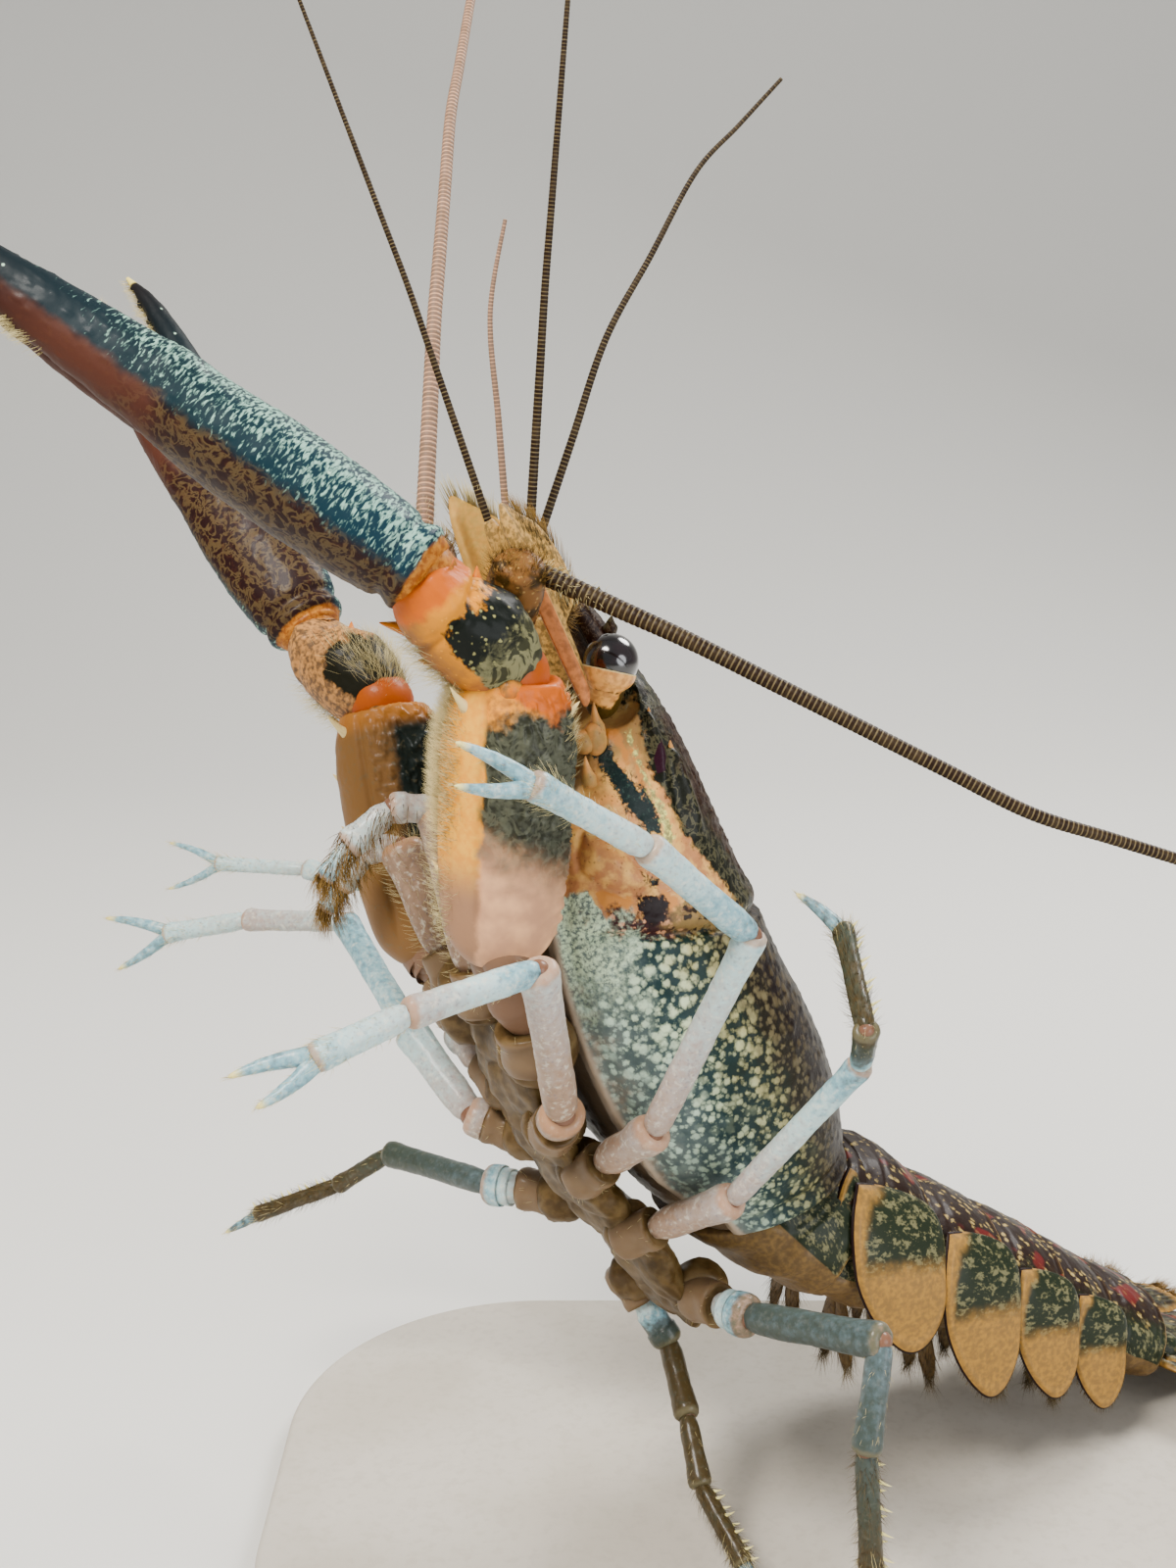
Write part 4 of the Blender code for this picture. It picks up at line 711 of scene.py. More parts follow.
def hand_paint(tree, place, tone):
    """Claw: x from the brown under side to the dark teal upper side, y from root to tip, z is horn."""
    fine = add(tree, "TexNoise", place, Scale=1.5, Detail=5.0, Roughness=0.6)
    upper = add(tree, "ValToRGB", tone[1], stops=[
        (0.0, "#042734"), (0.4, "#042128"), (0.6, "#041A21"), (0.85, "#0A1115"), (1.0, "#161010")])
    slanted = add(tree, "Mapping", place, Rotation=(0, 0, 0.6), Scale=(1.6, 0.5, 0.6))
    marble = add(tree, "TexNoise", slanted, Scale=2.3, Detail=2.0, Roughness=0.5, Distortion=0.5)
    amount = maths(tree, "ADD", tone[0], maths(tree, "MULTIPLY", tone[1], -1.2))
    marble = maths(tree, "ADD", marble, add(tree, "MapRange", amount, -0.9, 0.3, -0.2, 0.0))
    marble = maths(tree, "ADD", marble, step(tree, tone[1], 0.48, 0.7, 0.0, -0.2))
    upper = mix(tree, step(tree, marble, 0.42, 0.62, 0.0, 0.85), upper, "#90BBA9")
    points = dots(tree, place, 0.46, 0.05, 0.1, 0.6, 0.02)
    upper = mix(tree, maths(tree, "MULTIPLY", points, step(tree, tone[1], 0.95, 0.8)), upper, "#ADCCB3")
    rust = mix(tree, maths(tree, "MULTIPLY", worming(tree, place, 0.75, 0.08), 0.7), "#1C0504", "#564529")
    rust = mix(tree, step(tree, loosened(tree, tone[1], place, 0.3, 0.05), 0.38, 0.54), rust, "#452419")
    rust = mix(tree, step(tree, tone[1], 0.58, 0.85), rust, "#170406")
    rust = mix(tree, step(tree, fine, 0.5, 0.7, 0.0, 0.25), rust, "#4D2C17")
    line = maths(tree, "ADD", loosened(tree, tone[0], place, 0.35, 0.1), maths(tree, "MULTIPLY", tone[1], -0.5))
    paint = mix(tree, step(tree, line, -0.62, -0.3), rust, upper)
    rim = step(tree, loosened(tree, tone[1], place, 0.5, 0.003), 0.013, 0.007)
    paint = mix(tree, rim, paint, mix(tree, step(tree, fine, 0.4, 0.6), "#8A4A0C", "#B07020"))
    return mix(tree, step(tree, tone[2], 0.3, 0.7), paint, "#E7D36F"), fine


def tail_paint(tree, place, tone):
    """Tail shell: x nears the rim of a side leaf, y is how far down from the back, z is skin of the belly."""
    fine = add(tree, "TexNoise", place, Scale=1.7, Detail=4.0)
    long = add(tree, "Mapping", place, Scale=(0.55, 1.0, 1.0))
    specks = dots(tree, long, 1.0, 0.14, 0.36, 1.0, 0.18)
    back = mix(tree, specks, "#1B0B04", "#9D864D")
    red = step(tree, add(tree, "TexNoise", place, Scale=0.26, Detail=1.0), 0.6, 0.66)
    back = mix(tree, maths(tree, "MULTIPLY", red, 0.8), back, "#5F1312")
    side = mix(tree, dots(tree, long, 0.8, 0.1, 0.5, 1.0, 0.5), "#1A2213", "#676445")
    shell = mix(tree, step(tree, loosened(tree, tone[1], place, 0.4, 0.12), 0.3, 0.62), back, side)
    tan = mix(tree, step(tree, fine, 0.35, 0.7), "#826233", "#A37834")
    shell = mix(tree, step(tree, loosened(tree, tone[0], place, 0.25, 0.12), 0.05, 0.62), shell, tan)
    shell = mix(tree, step(tree, tone[0], 0.93, 0.99), shell, "#170504")
    # Dark brown tan of the belly skin: its own tan, darkened by painted shade under the tail.
    skin = mix(tree, step(tree, fine, 0.35, 0.7), "#574329", "#6F5630")
    return mix(tree, step(tree, tone[2], 0.4, 0.6), shell, skin), fine


def skin_paint(tree, place, tone):
    """Soft skin and plates of the under side; x nears a hip."""
    fine = add(tree, "TexNoise", place, Scale=0.7, Detail=4.0, Roughness=0.55)
    paint = mix(tree, step(tree, fine, 0.35, 0.7), "#402D0E", "#5E4A29")
    wide = add(tree, "TexNoise", place, Scale=0.25, Detail=2.0)
    paint = mix(tree, step(tree, wide, 0.5, 0.68, 0.0, 0.45), paint, "#7A6442")
    paint = mix(tree, step(tree, tone[0], 0.2, 0.9, 0.0, 0.75), paint, "#755F48")
    return mix(tree, step(tree, tone[1], 0.5, 0.6), paint, "#81562F"), fine


def stalk_paint(tree, place, tone):
    """Eye stalk: peach cup over a dark olive foot, with a pale ring at the eye; the dark olive at the foot and on the
    side toward the back is painted shade.
    """
    fine = add(tree, "TexNoise", place, Scale=1.4, Detail=4.0)
    paint = mix(tree, step(tree, fine, 0.35, 0.65), "#C08142", "#ECAB59")
    # Dark olive at the foot and on the side toward the back: painted shade.
    foot = maths(tree, "ADD", tone[0], add(tree, "MapRange", fine, 0.3, 0.7, -0.06, 0.06))
    paint = mix(tree, step(tree, foot, 0.26, 0.16), paint, "#3F2F0A")
    return mix(tree, step(tree, tone[0], 0.95, 0.98), paint, "#E2C889"), fine


def eye_paint(tree, place, tone):
    """Glossy brown black eye with a breath of brown in soft patches."""
    fine = add(tree, "TexNoise", place, Scale=0.6, Detail=2.0)
    return mix(tree, step(tree, fine, 0.4, 0.7), "#0A0607", "#1A0F12")


def ring_paint(tree, place, tone):
    """Ringed feeler: x is the height within a ring, y its hue from dark olive to pale pink."""
    fine = add(tree, "TexNoise", place, Scale=0.8, Detail=3.0)
    dark = mix(tree, step(tree, tone[1], 0.2, 0.8), "#1C0E04", "#7B6252")
    light = mix(tree, step(tree, tone[1], 0.2, 0.8), "#65573A", "#CE9D78")
    paint = mix(tree, step(tree, tone[0], 0.35, 0.65), light, dark)
    return mix(tree, step(tree, fine, 0.4, 0.7, 0.0, 0.3), paint, "#493B26"), fine


def scale_paint(tree, place, tone):
    """Antenna scale and stalk: x is its stiff rib, y brown and hairy (painted shade on the left scale's blade), z olive
    with pale specks.
    """
    fine = add(tree, "TexNoise", place, Scale=1.5, Detail=4.0)
    pale = mix(tree, step(tree, fine, 0.35, 0.65), "#EAB459", "#E5BC63")
    lines = add(tree, "TexNoise", place, Scale=2.2, Detail=2.0)
    # Brown with hair-like lines; on the left scale's blade this brown is painted shade.
    brown = mix(tree, step(tree, lines, 0.4, 0.62), "#654F2C", "#B38A49")
    ball_low = add(tree, "TexNoise", place, Scale=0.45, Detail=2.0)
    olive = mix(tree, step(tree, ball_low, 0.42, 0.56), "#2D1E04", "#6F4920")
    olive = mix(tree, dots(tree, place, 1.6, 0.12, 0.3), olive, "#95733E")
    paint = mix(tree, tone[1], pale, brown)
    paint = mix(tree, tone[2], paint, olive)
    rib = mix(tree, step(tree, fine, 0.35, 0.65), "#985D32", "#C27841")
    return mix(tree, tone[0], paint, rib), fine


def hair_paint(root, tip):
    """Fine bristles, darker at the root."""
    def paint(tree, place, tone):
        fine = add(tree, "TexNoise", place, Scale=0.6, Detail=2.0)
        along = maths(tree, "ADD", tone[0], add(tree, "MapRange", fine, 0.3, 0.7, -0.2, 0.2))
        return mix(tree, step(tree, along, 0.1, 0.7), root, tip)
    return paint


def plate_paint(tree, place, tone):
    """Painted base: warm grey with a faint mottle."""
    fine = add(tree, "TexNoise", place, Scale=0.9, Detail=5.0)
    wide = add(tree, "TexNoise", place, Scale=0.05, Detail=3.0)
    paint = mix(tree, step(tree, wide, 0.35, 0.65), "#B5ADA0", "#BFB8AC")
    return mix(tree, step(tree, fine, 0.45, 0.7, 0.0, 0.3), paint, "#A59C8E"), fine


class Coat:
    """Fine bristles as thin three-sided blades, each with its own small patch of the skin's unwrap."""

    def __init__(self):
        self.points, self.uv, self.share, self.count = [], [], [], 0

    def grow(self, roots, ways, lean, length, radius, uv):
        """Bristles from roots along their ways, bending toward lean."""
        side = unit(np.cross(ways, DRAW.normal(size=ways.shape)))
        over = np.cross(side, ways)
        levels = []
        for t, wide in ((-0.04, 1.0), (0.3, 0.85), (0.65, 0.55), (1.0, 0.08)):
            middle = roots + ways * (length * t)[:, None] + lean * (length * max(t, 0) ** 2)[:, None]
            for k in range(3):
                a = 2 * math.pi * k / 3
                levels.append(middle + (side * math.cos(a) + over * math.sin(a)) * radius * wide)
        self.points.append(np.stack(levels, 1))
        self.uv.append(uv)

    def mesh(self, name, material):
        points, uv = np.concatenate(self.points), np.concatenate(self.uv)
        for part, low in enumerate(range(0, len(points), 9000)):
            self.piece(f"{name}_{part + 1}", points[low:low + 9000], uv[low:low + 9000], material)

    def piece(self, name, points, uv, material):
        total = len(points)
        block = [[2, 1, 0], [9, 10, 11]]
        for row in range(3):
            for k in range(3):
                j = (k + 1) % 3
                block.append([row * 3 + k, row * 3 + j, row * 3 + 3 + j, row * 3 + 3 + k])
        faces = []
        for i in range(total):
            faces += [[i * 12 + v for v in face] for face in block]
        mesh = bpy.data.meshes.new(name)
        mesh.from_pydata((points.reshape(-1, 3) * MM).tolist(), [], faces)
        share = np.tile(np.repeat([0.0, 0.3, 0.65, 1.0], 3), total)
        for key, values in (("place", points.reshape(-1, 3)), ("tone", np.stack([share, share * 0, share * 0], -1))):
            layer = mesh.attributes.new(key, "FLOAT_VECTOR", "POINT")
            layer.data.foreach_set("vector", values.astype(np.float32).ravel())
        corner = np.zeros(len(mesh.loops), np.int32)
        mesh.loops.foreach_get("vertex_index", corner)
        local = np.stack([(corner % 3) * 0.0015, (corner % 12) // 3 * 0.001], -1)
        layer = mesh.uv_layers.new(name="OFBake")
        layer.data.foreach_set("uv", (uv[corner // 12] * 0.99 + local).astype(np.float32).ravel())
        mesh.polygons.foreach_set("use_smooth", [True] * len(mesh.polygons))
        mesh.update()
        flip_inward(mesh)
        obj = bpy.data.objects.new(name, mesh)
        bpy.context.scene.collection.objects.link(obj)
        mesh.materials.append(material)
        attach(obj, "root")


def sprout(coat, grid, mask, count, length, rise=0.6, toward=None, lean=None, radius=0.03, spread=0.2):
    """Bristles rooted on a grid of rings where the mask is high, lying partly along the rings' own direction."""
    weight = np.clip(mask * np.ones(grid.shape[:2]), 0, None).ravel()
    pick = DRAW.choice(len(weight), int(count), p=weight / weight.sum())
    rows, sides = np.divmod(pick, grid.shape[1])
    out = normals(grid).reshape(-1, 3)[pick]
    lie = unit(np.gradient(grid, axis=0)).reshape(-1, 3)[pick] if toward is None else np.tile(toward, (len(pick), 1))
    ring = (np.roll(grid, -1, 1) - grid).reshape(-1, 3)[pick]
    roots = grid.reshape(-1, 3)[pick] + ring * DRAW.rand(len(pick), 1)
    ways = unit(out * rise + lie * (1 - rise) + DRAW.normal(size=out.shape) * spread)
    bent = lie * 0.25 if lean is None else np.tile(lean, (len(pick), 1))
    long = length * (0.65 + 0.5 * DRAW.rand(len(pick)))
    uv = np.stack([sides / grid.shape[1], rows / grid.shape[0]], -1)
    coat.grow(roots, ways, bent, long, radius, uv)


def barrel(start, end, marks, up, count=32, spacing=0.35, wide=1.0, thin=1.0, square=1.0):
    """Straight length of rings; each mark holds a distance from the start and a radius."""
    rows = fill(marks, spacing, 2)
    along = unit(end - start)
    side = unit(np.cross(along, up))
    over = np.cross(side, along)
    t = 2 * math.pi * (np.arange(count) + 0.5) / count
    c = np.sign(np.cos(t)) * np.abs(np.cos(t)) ** square
    s = np.sign(np.sin(t)) * np.abs(np.sin(t)) ** square
    x, y = rows[:, 1:2] * c * wide, rows[:, 1:2] * s * thin
    centre = start + along * rows[:, :1]
    grid = centre[:, None] + side * x[..., None] + over * y[..., None]
    return grid, np.stack([rows[:, :1] + 0 * x, x, y], -1)


def limb(form, joints, radii, up, tints, seed=0.0, thin=0.9, skin=(0.3, 2.0, 0.0)):
    """Lengths of a limb with necks and flared lips, and skin at each joint; gives back their grids."""
    grids = []
    for i, (p, q) in enumerate(zip(joints, joints[1:])):
        along, long, r = unit(q - p), float(np.linalg.norm(q - p)), radii[i]
        reach = min(0.3 * long, 2.2 * r)
        marks = [(-0.3 * r, 0.42 * r), (0.1 * r, 0.64 * r), (0.7 * r, 0.86 * r), (reach, 0.95 * r), (0.5 * long, 0.94 * r),
                 (long - reach, 0.97 * r), (long - 0.8 * r, 1.05 * r), (long - 0.3 * r, 1.07 * r), (long + 0.02 * r, 1.0 * r),
                 (long + 0.2 * r, 0.84 * r), (long + 0.26 * r, 0.62 * r), (long + 0.2 * r, 0.45 * r)]
        way = up if abs(np.dot(up, along)) < 0.9 else across(along)[0]
        grid, local = barrel(p, q, marks, way, thin=thin)
        grid = lift(grid, 0.05 * grain(grid, 0.8) + 0.05 * r * grain(grid, 3.5) + 0.03 * grain(grid, 0.35))
        d = local[..., 0]
        near = np.maximum(0.9 * np.exp(-np.clip(long - d, 0, None) / (0.45 * r)), 0.7 * np.exp(-np.clip(d, 0, None) / (0.35 * r)))
        tint = tints[i][0] + (tints[i][1] - tints[i][0]) * np.clip(d / long, 0, 1)
        form.rings(grid, local + (seed + 37.0 * i, seed, 0), np.stack([tint, near, 0 * d], -1))
        if i:
            ball(form, p, 0.7 * min(radii[i - 1], r), along, skin, place=np.array((seed, 0, 0)))
        grids.append(grid)
    return grids


def finger(form, root, tip, radius, bow, tint, count=24, seed=0.0):
    """Slender tapering end with a horn tip, bowed a little toward one side."""
    rows = []
    for part, wide in ((-0.06, 0.7), (0.0, 0.92), (0.15, 1.0), (0.4, 0.86), (0.65, 0.68), (0.85, 0.46), (0.96, 0.27), (1.0, 0.08)):
        p = root + (tip - root) * part + bow * math.sin(math.pi * max(0.0, part))
        rows.append((*p, radius * wide, radius * wide))
    rows = fill(rows, 0.3)
    grid = tube(rows, across(unit(tip - root))[1], count)
    share = np.linspace(-0.06, 1.0, len(rows))[:, None] + np.zeros((1, count))
    grid = lift(grid, 0.05 * grain(grid, 0.7) * ramp(share, 1.0, 0.8))
    form.rings(grid, grid - root + seed, np.stack([tint + 0 * share, 0 * share, np.clip(share, 0, 1) ** 1.5], -1))
    return grid


LEG_TINTS = {
    "left_2": [(0.05, 0.1), (0.08, 0.35), (0.62, 0.3), (0.42, 0.52)],
    "left_3": [(0.1, 0.25), (0.2, 0.5), (0.6, 0.45), (0.42, 0.56)],
    "left_4": [(0.1, 0.28), (0.25, 0.6), (0.5, 0.95), (0.97, 0.9)],
    "left_5": [(0.35, 0.66), (0.76, 0.72), (0.66, 0.78), (0.8, 1.0)],
    "right_2": [(0.2, 0.4), (0.5, 0.6), (0.5, 0.45), (0.42, 0.5)],
    "right_3": [(0.2, 0.3), (0.3, 0.5), (0.5, 0.6), (0.4, 0.3), (0.42, 0.5)],
    "right_4": [(0.35, 0.6), (0.7, 0.86), (0.9, 1.0), (1.0, 1.0)],
    "right_5": [(0.4, 0.9), (1.0, 1.0), (1.0, 1.0), (1.0, 1.0)],
}


def limb_joints(start, lengths):
    joints = [start]
    for length, azimuth, elevation in lengths:
        joints.append(joints[-1] + heading(azimuth, elevation) * length)
    return joints


def build_legs(mats, coats):
    """Eight walking legs: two pairs with small pincers, two with a single claw and spines."""
    for n, (name, leg) in enumerate(LEGS.items()):
        form = Form()
        lengths = leg["lengths"]
        joints = limb_joints(body(*leg["hip"]), lengths)
        joints[0] = joints[0] + heading(*lengths[0][1:]) * (COXA_LENGTH - 0.2)
        bend = unit(np.cross(heading(*lengths[-2][1:]), heading(*lengths[-3][1:])))
        grids = limb(form, joints, leg["radii"], bend, LEG_TINTS[name], 11.0 * n)
        end, palm, radius = joints[-1], heading(*lengths[-1][1:]), leg["radii"][-1]
        pair = len(leg["fingers"]) == 2
        middle = sum(heading(*one[1:]) for one in leg["fingers"])
        for length, azimuth, elevation in leg["fingers"]:
            way = heading(azimuth, elevation)
            if leg.get("stands"):
                length = (end[2] - FOOT_TOP - FOOT_RADIUS * 0.4) / -way[2]
            root = end - palm * radius * 0.5
            bow = unit(way - unit(middle) * way.dot(unit(middle))) * 0.35 if pair else BACK * 0.3
            grid = finger(form, root, end + way * length, radius * (0.6 if pair else 0.72), bow, 0.57 if pair else 0.63, seed=5.0 * n)
            sprout(coats["white"], grid, np.linspace(0.3, 1, len(grid))[:, None], 60, 0.7, 0.35, radius=0.018)
        bristle = coats["white"] if pair else coats["brown"]
        sprout(bristle, grids[-1], 1.0, 110 if pair else 420, 0.7 if pair else 1.3, 0.5, radius=0.02)
        sprout(coats["white"], grids[-2], 1.0, 60, 0.6, 0.5, radius=0.018)
        tip = np.linspace(0, 1, len(grids[-1]))[:, None] ** 6
        sprout(coats["white"], grids[-1], tip, 90, 1.4, 0.4, radius=0.022)
        if "spines" in leg:
            way = heading(*leg["spines"])
            way = unit(way - way.dot(palm) * palm + palm * 0.5)
            for k, part in enumerate(np.linspace(0.1, 0.96, 9)):
                place = end - palm * lengths[-1][0] * (1 - part)
                turned = unit(way + np.cross(palm, way) * (0.35 if k % 2 else -0.2))
                thorn(form, place + turned * radius * 0.8, turned, 1.5 if k % 2 else 1.0, 0.24, (0.42, 0.0, 0.9))
        form.mesh(f"leg_{name}", mats["leg"], [f"leg_{name}_upper", f"leg_{name}_lower"], "leg_shell")


def build_under_body(mats, coats):
    """Narrow keel of the under side with the hip pieces of every limb."""
    form = Form()
    rows = fill(STERNUM_FORM, 0.5, 1)
    count = 72
    t = 2 * math.pi * (np.arange(count) + 0.5) / count
    c, k = np.cos(t), np.sin(t)
    s, w, top, low = (rows[:, i:i + 1] for i in range(4))
    up = (top + low) / 2 + (top - low) / 2 * np.sign(k) * np.abs(k) ** 0.8
    left = w * np.sign(c) * np.abs(c) ** 0.8
    grid = BODY_REAR + s[..., None] * FORE + up[..., None] * BACK + left[..., None] * LEFT
    plates = np.abs(np.sin(math.pi * (s - 1.5) / 6.4)) ** 0.5
    keel = np.exp(-(left / 1.2) ** 2) * (k < 0)
    height = 0.7 * plates * ramp(k, 0.1, -0.5) + 0.8 * keel + 0.35 * grain(grid, 2.2) + 0.15 * grain(grid, 0.8)
    grid = lift(grid, height - 0.6)
    form.rings(grid, in_body(grid), np.zeros_like(grid))
    limbs = list(LEGS.values()) + list(CLAWS.values()) + list(MOUTH_LEGS.values())
    for n, leg in enumerate(limbs):
        hip, along = body(*leg["hip"]), heading(*leg["lengths"][0][1:])
        r = leg["radii"][0] if "radii" in leg else 2.9
        inner = hip - LEFT * np.sign(leg["hip"][2]) * 2.6 + BACK * 1.6
        grid, local = barrel(inner, hip + along * 0.6, [(-1.0, r * 0.9), (0.5, r * 1.35), (2.6, r * 1.4), (3.4, r * 1.2)], BACK)
        grid = lift(grid, 0.25 * grain(grid, 1.6) + 0.08 * grain(grid, 0.6))
        form.rings(grid, local + 20.0 * n, np.stack([0.3 + 0 * local[..., 0], 0 * local[..., 0], 0 * local[..., 0]], -1))
        marks = [(-1.2, r * 0.8), (-0.6, r * 1.12), (0.6, r * 1.18), (2.2, r * 1.08), (COXA_LENGTH - 0.5, r * 1.14),
                 (COXA_LENGTH - 0.05, r * 1.08), (COXA_LENGTH - 0.1, r * 0.8)]
        grid, local = barrel(hip, hip + along * COXA_LENGTH, marks, across(along)[0], thin=0.92)
        grid = lift(grid, 0.14 * grain(grid, 1.5) + 0.05 * grain(grid, 0.5))
        lip = ramp(local[..., 0], COXA_LENGTH - 0.5, COXA_LENGTH)
        form.rings(grid, local + 20.0 * n, np.stack([0.9 - 0.6 * lip, 0.3 * lip, 0 * lip], -1))
        sprout(coats["white"], grid, 1.0, 30, 0.8, 0.5, radius=0.018)
    form.mesh("under_body", mats["skin"], "sternum", "joint_skin")


def seen(grid, start, along, half):
    """Where points lie across an arm as the camera sees it: to the right, along, toward it."""
    right = unit(np.cross(VIEW_SIDE, along))
    near = np.cross(right, along)
    near = -near if near[1] > 0 else near
    away = grid - start
    return away @ right / half, away @ along, away @ near / half


def claw_frame(claw):
    """Elbow, wrist and hand places of one claw, as the solids have them."""
    hip = body(*claw["hip"])
    ways = [heading(*one[1:]) for one in claw["lengths"]]
    elbow = hip + ways[0] * claw["lengths"][0][0]
    wrist_in = elbow + ways[1] * claw["lengths"][1][0]
    wrist_out = wrist_in + ways[2] * claw["lengths"][2][0]
    return hip, ways, elbow, wrist_in, wrist_out


def oval_barrel(start, along, marks, up, count, spacing):
    """Straight length whose marks hold a distance, a half width and a half thickness."""
    rows = fill(marks, spacing, 3)
    side = unit(np.cross(along, up))
    over = np.cross(side, along)
    t = 2 * math.pi * (np.arange(count) + 0.5) / count
    x, y = rows[:, 1:2] * np.cos(t), rows[:, 2:3] * np.sin(t)
    return (start + along * rows[:, :1])[:, None] + side * x[..., None] + over * y[..., None], rows, t


def build_claws(mats, coats):
    """Both great claws: short root, rugged arm, wrist, hand and finger."""
    for side, claw in CLAWS.items():
        hip, (ischium, merus, carpus), elbow, wrist_in, wrist_out = claw_frame(claw)
        form = Form()
        limb(form, [hip + ischium * COXA_LENGTH, elbow + ischium * 0.5], [3.0], VIEW_SIDE, [(0.0, 0.0)], thin=0.9)
        form.tone[0] = np.tile((0.0, 1.55, 0.0), (len(form.tone[0]), 1))
        marks = [(-2.0, 0.5, 0.4), (-1.7, 2.2, 1.9), (-0.6, 3.8, 3.2), (1.6, 5.2, 4.1), (6.0, 5.95, 4.6), (13.0, 6.3, 4.9),
                 (19.0, 6.3, 5.0), (23.1, 5.8, 4.7), (25.4, 5.1, 4.3), (26.1, 4.7, 4.0), (26.2, 4.1, 3.5), (25.8, 3.0, 2.6)]
        grid, rows, t = oval_barrel(elbow, merus, marks, VIEW_SIDE, 190, 0.3)
        x, d, z = seen(grid, elbow, merus, 6.0)
        share = d / claw["lengths"][1][0]
        crease = np.exp(-((x + 0.36) / 0.06) ** 2) * (z > 0) * ramp(share, 0.02, 0.2) * ramp(share, 1.0, 0.9)
        worm = np.abs(grain(np.stack([x * 9.0, d * 1.2, z * 6.0], -1), 1.5))
        rugged = ramp(share + 0.1 * x, 0.3, 0.5) * ramp(share, 1.0, 0.92) * ramp(x, -0.4, -0.1)
        rugged = np.maximum(rugged, ramp(x, 0.6, 0.85) * ramp(share, 0.2, 0.36) * ramp(share, 1.0, 0.94))
        bumps = ramp(np.sin(2 * math.pi * d / 1.45), 0.2, 1) * np.exp(-((x - 0.93) / 0.07) ** 2) * ramp(share, 0.5, 0.4)
        height = 0.34 * rugged * (0.6 - ramp(worm, 0.02, 0.16)) - 0.4 * crease + 0.3 * bumps
        height = height + (0.12 * grain(grid, 2.5) + 0.04 * grain(grid, 0.6)) * ramp(share, 0.45, 0.7)
        grid = lift(grid, height)
        away = 0.0 if side == "left" else 1.0
        form.rings(grid, np.stack([x * 6, d, z * 6], -1), np.stack([x, share, 0 * x + away], -1))
        for part, turn, reach, radius in ARM_SPINES:
            edge_thorn(form, grid, elbow, merus, claw["lengths"][1][0], (6.0, 4.7), part, turn, reach, radius)
        for place, r, tone in ((elbow - merus * 0.4 + heading(-60, 0) * 1.5, 2.6, (0, 1.55, 0)),
                               (wrist_in, 3.6, (0, 2, 0)), (wrist_in - VIEW_SIDE * 3.3, 1.3, (0.4, 0.9, 0))):
            ball(form, place, r, merus, tone)
        form.mesh(f"arm_{side}", mats["arm"], f"claw_{side}_arm", "claw_shell")
        left_edge = ramp(x, -0.6, -0.9) * ramp(share, 0.0, 0.1) * ramp(share, 1.05, 0.95) * (0.2 + ramp(share, 0.35, 0.6))
        if side == "left":
            sprout(coats["white"], grid, left_edge, 3800, 1.5, 0.85, radius=0.02, spread=0.25)
        else:
            sprout(coats["white"], grid, ramp(x, 0.2, 0.6) * ramp(share, 0.5, 0.2), 700, 1.5, 0.7, radius=0.02)
        sprout(coats["white"], grid, ramp(x, 0.8, 1.0) * ramp(share, 0.6, 0.9), 160, 1.0, 0.6, radius=0.02)

        form = Form()
        marks = [(-1.2, 1.6, 1.5), (-0.6, 3.0, 2.8), (0.6, 3.9, 3.6), (3.6, 4.8, 4.5), (7.4, 5.1, 4.9), (10.4, 4.9, 4.7),
                 (12.0, 4.3, 4.1), (13.2, 3.7, 3.5), (13.6, 2.6, 2.4)]
        grid, rows, t = oval_barrel(wrist_in, carpus, marks, VIEW_SIDE, 150, 0.3)
        x, d, z = seen(grid, wrist_in, carpus, 4.9)
        share = d / claw["lengths"][2][0]
        groove = np.exp(-((share - 0.72 - 0.08 * x) / 0.035) ** 2)
        height = 0.16 * grain(grid, 1.3) * ramp(x, -0.5, 0.2) + 0.05 * grain(grid, 0.5) - 0.45 * groove
        grid = lift(grid, height - 1.5 * ramp(x, 0.2, 0.9) * ramp(share, 0.4, 0.75))
        form.rings(grid, np.stack([x * 5, d, z * 5], -1), np.stack([x, share, 0 * x + away], -1))
        for part, turn, reach, radius in WRIST_SPINES:
            edge_thorn(form, grid, wrist_in, carpus, claw["lengths"][2][0], (4.8, 4.6), part, turn, reach, radius, (0.5, 0.9, 0.0))
        form.mesh(f"wrist_{side}", mats["wrist"], f"claw_{side}_wrist", "claw_joint")
        if side == "right":
            sprout(coats["white"], grid, ramp(x, 0.3, 0.8) * ramp(share, 0.7, 0.1), 620, 1.8, 0.5, radius=0.02, spread=0.3)
        sprout(coats["white"], grid, ramp(x, -0.6, -0.95) * ramp(share, 0.9, 0.5), 520, 2.2, 0.6, radius=0.022, spread=0.3)
        build_hand(side, claw, wrist_out + unit(carpus + heading(*claw["hand"][1:])) * 0.15, mats, coats)


def edge_thorn(form, grid, start, along, length, size, part, turn, reach, radius, tone=(0.5, 0.8, 2.0)):
    """Spine on a claw piece, leaning toward its far end."""
    side = unit(np.cross(along, VIEW_SIDE))
    t = math.radians(turn)
    over = np.cross(side, along)
    way = side * math.cos(t) + over * math.sin(t)
    place = start + along * part * length + side * math.cos(t) * size[0] + over * math.sin(t) * size[1]
    skin = grid.reshape(-1, 3)
    place = skin[np.argmin(np.linalg.norm(skin - place, axis=1))]
    thorn(form, place - way * 0.3, unit(way + along * 0.9), reach, radius * 0.9, tone, along * 1.0)


